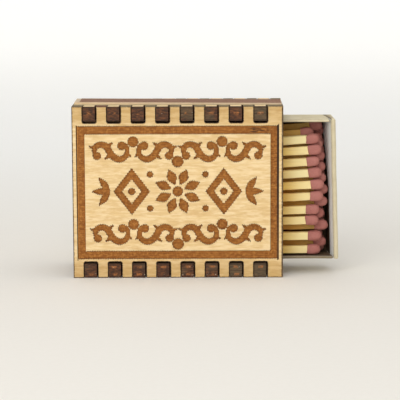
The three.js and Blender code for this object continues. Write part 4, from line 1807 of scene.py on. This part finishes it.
class MatchTree:
    """A Geometry Nodes tree that sets a copy of a master piece at each match.

    Args:
        name: The tree's name.
        material: What the copies are made of.
        skin: How uneven they are.
    """

    SOCKETS = {
        "Points": "Geometry", "Master": "Object", "Unevenness": "Float",
        "Lump Scale": "Float", "Roughness": "Float", "Size Spread": "Float",
    }
    FINER = 5.0

    def __init__(self, name: str, material: Material, skin: MatchSkin) -> None:
        """Opens the tree with its named inputs and builds it."""
        self.skin = skin
        self.group = bpy.data.node_groups.new(name, "GeometryNodeTree")
        face = self.group.interface
        face.new_socket("Geometry", in_out="OUTPUT", socket_type="NodeSocketGeometry")
        self.identifiers = {}
        for label, kind in self.SOCKETS.items():
            socket = face.new_socket(label, in_out="INPUT", socket_type="NodeSocket" + kind)
            self.identifiers[label] = socket.identifier
        self.tree = Tree(self.group)
        self.given = self.tree.add("NodeGroupInput").outputs
        real = self.tree.add("GeometryNodeRealizeInstances", {"Geometry": self._copies()}).outputs[0]
        inputs = {"Geometry": real, "Offset": self._lumps()}
        moved = self.tree.add("GeometryNodeSetPosition", inputs).outputs[0]
        painted = self.tree.add("GeometryNodeSetMaterial", {"Geometry": moved, "Material": material})
        self.tree.add("NodeGroupOutput", {"Geometry": painted.outputs[0]})

    @staticmethod
    def _live(node: bpy.types.Node, name: str) -> Socket:
        """Returns: The input of a name that the node has in use."""
        return next(socket for socket in node.inputs if socket.name == name and socket.enabled)

    def _copies(self) -> Socket:
        """Returns: The copies, each with its turn, its size and its tone."""
        tree, given = self.tree, self.given
        master = tree.add("GeometryNodeObjectInfo", {"Object": given["Master"]}).outputs["Geometry"]
        turn = tree.add("GeometryNodeInputNamedAttribute", {"Name": "turn"}, data_type="FLOAT_VECTOR")
        size = tree.add("FunctionNodeRandomValue", data_type="FLOAT")
        least = tree.math("SUBTRACT", 1.0, given["Size Spread"])
        for key, value in (("Min", least), ("Max", 1.0), ("Seed", self.skin.seed)):
            tree.feed(self._live(size, key), value)
        scale = tree.add("ShaderNodeCombineXYZ", {0: 1.0, 1: size.outputs[1], 2: size.outputs[1]})
        inputs = {"Points": given["Points"], "Instance": master}
        inputs |= {"Rotation": turn.outputs["Attribute"], "Scale": scale.outputs[0]}
        copies = tree.add("GeometryNodeInstanceOnPoints", inputs).outputs[0]
        tone = tree.add("FunctionNodeRandomValue", data_type="FLOAT")
        tree.feed(self._live(tone, "Seed"), self.skin.seed + 1)
        inputs = {"Geometry": copies, "Name": "tone"}
        toned = tree.add("GeometryNodeStoreNamedAttribute", inputs, data_type="FLOAT", domain="INSTANCE")
        tree.feed(self._live(toned, "Value"), tone.outputs[1])
        return toned.outputs[0]

    def _lumps(self) -> Socket:
        """Returns: How far each point of the copies is pushed."""
        given = self.given
        broad = self._push(given["Lump Scale"], given["Unevenness"])
        fine = self._push(self.tree.times(given["Lump Scale"], self.FINER), given["Roughness"])
        return self.tree.add("ShaderNodeVectorMath", {0: broad, 1: fine}, operation="ADD").outputs[0]

    def _push(self, scale: Socket, amount: Socket) -> Socket:
        """Adds a push in a direction that changes smoothly from place to place.

        Args:
            scale: How close its lumps lie.
            amount: How strong it is.

        Returns:
            The push.
        """
        where = self.tree.add("GeometryNodeInputPosition").outputs[0]
        lump = self.tree.add("ShaderNodeTexNoise", {"Vector": where, "Scale": scale, "Detail": 1.5})
        middle = {0: lump.outputs["Color"], 1: (0.5, 0.5, 0.5)}
        centred = self.tree.add("ShaderNodeVectorMath", middle, operation="SUBTRACT").outputs[0]
        push = self.tree.add("ShaderNodeVectorMath", {0: centred, "Scale": amount}, operation="SCALE")
        return push.outputs[0]

    def run(self, points: Piece, master: Piece, name: str) -> Piece:
        """Makes the copies and turns them into a plain piece, in metres.

        Args:
            points: A mesh of points that carry their turn.
            master: The piece to copy.
            name: The new piece's name.

        Returns:
            The new piece.
        """
        modifier = points.modifiers.new(name, "NODES")
        modifier.node_group = self.group
        values = {
            "Master": master,
            "Unevenness": self.skin.unevenness,
            "Lump Scale": self.skin.lump_scale,
            "Roughness": self.skin.roughness,
            "Size Spread": self.skin.size_spread,
        }
        for label, value in values.items():
            modifier[self.identifiers[label]] = value
        seen = points.evaluated_get(bpy.context.evaluated_depsgraph_get())
        mesh = bpy.data.meshes.new_from_object(seen)
        points.modifiers.remove(modifier)
        mesh.name = name
        mesh.transform(Matrix.Scale(MM, 4))
        piece = bpy.data.objects.new(name, mesh)
        bpy.context.scene.collection.objects.link(piece)
        return piece


@dataclass
class Matches:
    """All the matches in the drawer: one piece of splints and one of heads."""

    finishes: Finishes  # the object's materials
    side: float = 2.05  # side of a splint
    head_width: float = 2.75  # width of a head
    head_length: float = 3.5  # length of a head
    splint_in_head: float = 1.2  # how far a splint reaches into its head
    dip_slant: float = 0.16  # how far the dip line runs askew
    dip_ragged: float = 0.3  # how uneven it is
    splint_soft: float = 0.12  # how far a splint's long edges are cut off
    splint_steps: int = 30  # how many pieces a splint's length is divided into
    head_around: int = 24  # how many points go round a head
    # share along a head, share of its width, and roundness from 0 square to 1 round
    head_profile: tuple[Solid, ...] = (
        (0.0, 0.79, 0.3), (0.015, 0.83, 0.32), (0.05, 0.87, 0.38), (0.14, 0.91, 0.46),
        (0.28, 0.95, 0.56), (0.45, 0.98, 0.64), (0.6, 0.97, 0.7), (0.74, 0.9, 0.76),
        (0.85, 0.78, 0.8), (0.93, 0.6, 0.85), (0.975, 0.38, 0.9), (0.995, 0.17, 1.0),
    )
    tail_reach: float = 0.5  # how near to the tail's end the points of a CAD match count as its tail
    tip_reach: float = 0.02  # how near to its tip they count as the tip
    roll_play: float = 0.06  # how far a match is rolled off its flat sides
    splint_skin: MatchSkin = MatchSkin(21, roughness=0.03, size_spread=0.04)  # how uneven the splints are
    head_skin: MatchSkin = MatchSkin(31, roughness=0.14, size_spread=0.0)  # how uneven the heads are
    seed: int = 11  # seed of the rolls

    def __post_init__(self) -> None:
        """Finds the matches in the frame."""
        self.nodes = sorted(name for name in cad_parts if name.startswith("match_"))
        self.ends = [self._ends(name) for name in self.nodes]
        self.length = (self.ends[0][1] - self.ends[0][0]).length

    def _ends(self, node: str) -> tuple[Vector, Vector]:
        """Finds a match's ends in its CAD solid.

        Args:
            node: Name of its CAD node.

        Returns:
            The middle of its tail and its tip.
        """
        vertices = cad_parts[node].data.vertices
        points = sorted((vertex.co * PER_MM for vertex in vertices), key=lambda point: point.x)
        tail = [point for point in points if point.x < points[0].x + self.tail_reach]
        middle = Vector([(min(p[i] for p in tail) + max(p[i] for p in tail)) / 2 for i in range(3)])
        tips = [point for point in points if point.x > points[-1].x - self.tip_reach]
        return middle, sum(tips, Vector()) / len(tips)

    def _points(self, rolls: Sequence[float]) -> Piece:
        """Marks the matches' tails, for the trees.

        Args:
            rolls: How far each match is rolled about its length.

        Returns:
            A mesh of the tails, which carry each match's turn.
        """
        mesh = bpy.data.meshes.new("match_tails")
        mesh.from_pydata([tail for tail, _ in self.ends], [], [])
        turns = mesh.attributes.new("turn", "FLOAT_VECTOR", "POINT")
        for value, (tail, tip), roll in zip(turns.data, self.ends, rolls):
            along = tip - tail
            value.vector = (roll, -math.atan2(along.z, along.x), 0.0)
        points = bpy.data.objects.new("match_tails", mesh)
        bpy.context.scene.collection.objects.link(points)
        return points

    def _splint(self) -> Piece:
        """Returns: The master splint, a square stick with softened edges."""
        shell = Shell("along")
        half, soft = self.side / 2, self.splint_soft
        length = self.length - self.head_length + self.splint_in_head
        corners = []
        for turn in range(4):
            angle = math.pi / 2 * turn
            for across, up in ((half, -half + soft), (half, half - soft)):
                y = across * math.cos(angle) - up * math.sin(angle)
                z = across * math.sin(angle) + up * math.cos(angle)
                corners.append((y, z))
        rings = []
        for i in range(self.splint_steps + 1):
            share = i / self.splint_steps
            rings.append([shell.point((length * share, y, z), along=share) for y, z in corners])
        shell.tube(rings)
        return self._master(shell, "master_splint")

    def _head(self) -> Piece:
        """Returns: The master head, a rounded square lump with a slanted dip line."""
        shell = Shell()
        around, half = self.head_around, self.head_width / 2
        start = self.length - self.head_length
        rings = []
        for along, share, power in self.head_profile:
            ring = []
            for i in range(around):
                angle = math.tau * i / around
                y = math.copysign(abs(math.cos(angle)) ** power, math.cos(angle)) * half * share
                z = math.copysign(abs(math.sin(angle)) ** power, math.sin(angle)) * half * share
                ragged = self.dip_ragged * noise.noise(Vector((y * 1.1, z * 1.1, 2.0)))
                slant = (self.dip_slant * z / half + ragged) * (1 - along) ** 2
                ring.append(shell.point((start + along * self.head_length + slant, y, z)))
            rings.append(ring)
        for first, second in zip(rings, rings[1:]):
            shell.band(first, second)
        shell.face(rings[0][::-1])
        tip = shell.point((start + self.head_length, 0.0, 0.0))
        for i in range(around):
            shell.face((rings[-1][i], rings[-1][(i + 1) % around], tip))
        return self._master(shell, "master_head")

    @staticmethod
    def _master(shell: Shell, name: str) -> Piece:
        """Makes a master piece, kept in millimetres for the trees.

        Args:
            shell: Its mesh.
            name: Its name.

        Returns:
            The piece.
        """
        master = shell.build(name, [], smooth=40)
        master.data.transform(Matrix.Scale(PER_MM, 4))
        return master

    def _set(
        self, tree: MatchTree, master: Piece, rolls: Sequence[float], name: str
    ) -> Piece:
        """Sets a copy of a master piece at each match.

        Args:
            tree: The tree that sets it.
            master: The master piece, which is used up.
            rolls: How far each match is rolled about its length.
            name: The new piece's name.

        Returns:
            The new piece.
        """
        points = self._points(rolls)
        piece = tree.run(points, master, name)
        for spare in (points, master):
            bpy.data.objects.remove(spare)
        return piece

    def build(self) -> None:
        """Builds the splints and the heads."""
        draw = random.Random(self.seed)
        quarters = [math.pi / 2 * draw.randrange(4) for _ in self.nodes]
        rolls = [turn + draw.uniform(-self.roll_play, self.roll_play) for turn in quarters]
        tree = MatchTree("set_splints", self.finishes.splint, self.splint_skin)
        splints = self._set(tree, self._splint(), rolls, "match_splints")
        settle(splints, Body.DRAWER, "match_splint", *self.nodes)
        tree = MatchTree("set_heads", self.finishes.head, self.head_skin)
        heads = self._set(tree, self._head(), rolls, "match_heads")
        settle(heads, Body.DRAWER, "match_head")


# Studio


@dataclass(frozen=True)
class CameraSetup:
    """The photograph's viewpoint."""

    place: Solid = (0.0084529, -0.4738280, 0.0925696)  # where the camera stands, in metres
    pitch: float = 0.154715  # how far it looks down, in radians
    yaw: float = 0.0058874  # its turn to the side
    roll: float = -0.0033222  # its turn about the line of sight
    lens: float = 164.55  # focal length
    sensor: float = 36.0  # width of the sensor

    def build(self) -> None:
        """Makes the camera and looks through it."""
        base = Matrix(((1, 0, 0), (0, 0, -1), (0, 1, 0)))
        turn = Matrix.Rotation(self.roll, 3, "Z") @ Matrix.Rotation(self.yaw, 3, "Y")
        rows = turn @ Matrix.Rotation(self.pitch, 3, "X") @ base
        right, down, forward = rows
        data = bpy.data.cameras.new("camera")
        data.lens = self.lens
        data.sensor_width = self.sensor
        data.clip_start = 0.01
        camera = bpy.data.objects.new("camera", data)
        turned = Matrix((right, -down, -forward)).transposed()
        camera.matrix_world = Matrix.Translation(self.place) @ turned.to_4x4()
        bpy.context.scene.collection.objects.link(camera)
        bpy.context.scene.camera = camera


@dataclass(frozen=True)
class AreaLamp:
    """A soft square lamp that looks at the box."""

    name: str  # its name
    place: Solid  # where it hangs, in metres
    size: float  # its side
    power: float  # its power in watts
    tone: Tone  # its colour
    target: Solid = (0.005, 0.0, 0.02)  # what it looks at, in metres

    def build(self) -> None:
        """Hangs the lamp."""
        data = bpy.data.lights.new(self.name, "AREA")
        data.size = self.size
        data.energy = self.power
        data.color = self.tone.rgba()[:3]
        lamp = bpy.data.objects.new(self.name, data)
        lamp.location = self.place
        aim = Vector(self.target) - Vector(self.place)
        lamp.rotation_euler = aim.to_track_quat("-Z", "Y").to_euler()
        bpy.context.scene.collection.objects.link(lamp)


@dataclass
class Studio:
    """A pale sweep, soft lamps and an even surround."""

    paper: Tone = Tone(0.83, 0.80, 0.745)  # colour of the sweep near the box
    far_paper: Tone = Tone(0.92, 0.915, 0.89)  # its paler colour farther off
    fibre: Tone = Tone(0.7, 0.67, 0.6)  # colour of its fibres
    far_start: float = 10.0  # distance behind the box at which it begins to pale
    far_full: float = 300.0  # distance at which it is palest
    glow_full: float = 1000.0  # distance at which the camera sees the paper brightest
    far_glow: float = 0.38  # how much brighter it sees it there
    surround: Tone = Tone(1.0, 1.0, 1.0)  # colour of the surround
    strength: float = 0.69  # its strength
    half_width: float = 2.0  # half the sweep's width
    front: float = -1.6  # how far it reaches toward the camera
    bend: float = 0.7  # where it begins to rise
    radius: float = 0.5  # radius of its bend
    height: float = 1.8  # how high it rises
    steps: int = 12  # how many pieces its bend is divided into
    lamps: tuple[AreaLamp, ...] = (
        AreaLamp("key", (-0.12, -0.60, 0.44), 0.50, 1.75, Tone(1.0, 0.985, 0.95)),
        AreaLamp("side", (-0.60, -0.50, 0.20), 0.35, 1.15, Tone(1.0, 0.985, 0.95)),
        AreaLamp("top", (0.10, -0.05, 0.80), 0.60, 0.8, Tone(1.0, 0.995, 0.98)),
    )

    def _sweep(self) -> None:
        """Builds the floor and backdrop in one sheet."""
        paint = Paint("pale_paper")
        tree, y = paint.tree, paint.axes["Y"]
        tooth = tree.noise(paint.where, (0.8, 0.8, 0.8), 3.0)
        toned = tree.blend(tree.between(y, self.far_start, self.far_full), self.paper, self.far_paper)
        mottled = tree.blend(tree.between(tooth, 0.3, 0.7, 0.0, 0.08), toned, self.fibre)
        material = paint.finish(mottled, 0.9, tooth, 0.02, 0.2)
        seen = tree.add("ShaderNodeLightPath").outputs["Is Camera Ray"]
        glow = tree.times(tree.between(y, self.far_start, self.glow_full), seen, self.far_glow)
        tree.feed(paint.shader.inputs["Emission Color"], self.far_paper)
        tree.feed(paint.shader.inputs["Emission Strength"], glow)
        profile = [(self.front, 0.0), (0.0, 0.0), (self.bend, 0.0)]
        for i in range(1, self.steps + 1):
            angle = math.pi / 2 * i / self.steps
            rise = self.radius * (1 - math.cos(angle))
            profile.append((self.bend + self.radius * math.sin(angle), rise))
        profile.append((self.bend + self.radius, self.height))
        mesh = bpy.data.meshes.new("sweep")
        points = [(side * self.half_width, y, z) for y, z in profile for side in (-1, 1)]
        faces = [(2 * i, 2 * i + 1, 2 * i + 3, 2 * i + 2) for i in range(len(profile) - 1)]
        mesh.from_pydata(points, [], faces)
        mesh.polygons.foreach_set("use_smooth", [True] * len(faces))
        mesh.materials.append(material)
        sweep = bpy.data.objects.new("sweep", mesh)
        bpy.context.scene.collection.objects.link(sweep)

    def _surround(self) -> None:
        """Lights the scene evenly from all sides."""
        world = bpy.data.worlds.new("surround")
        world.use_nodes = True
        background = world.node_tree.nodes["Background"]
        background.inputs["Color"].default_value = self.surround.rgba()
        background.inputs["Strength"].default_value = self.strength
        bpy.context.scene.world = world

    def build(self) -> None:
        """Builds the studio and its camera."""
        self._sweep()
        self._surround()
        for lamp in self.lamps:
            lamp.build()
        CameraSetup().build()
        bpy.context.scene.view_settings.view_transform = "Standard"


def write_sizes() -> None:
    """Updates the view layer, so that the pieces' places are current."""
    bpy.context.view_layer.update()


def main() -> None:
    """Builds the matchbox and its studio."""
    logging.basicConfig(level=logging.INFO, format="%(name)s: %(message)s")
    finishes = Finishes()
    Sleeve(finishes).build()
    StrikerStrip(finishes).build()
    CardDrawer(finishes).build()
    Matches(finishes).build()
    Studio().build()
    write_sizes()


if __name__ == "__main__":
    main()
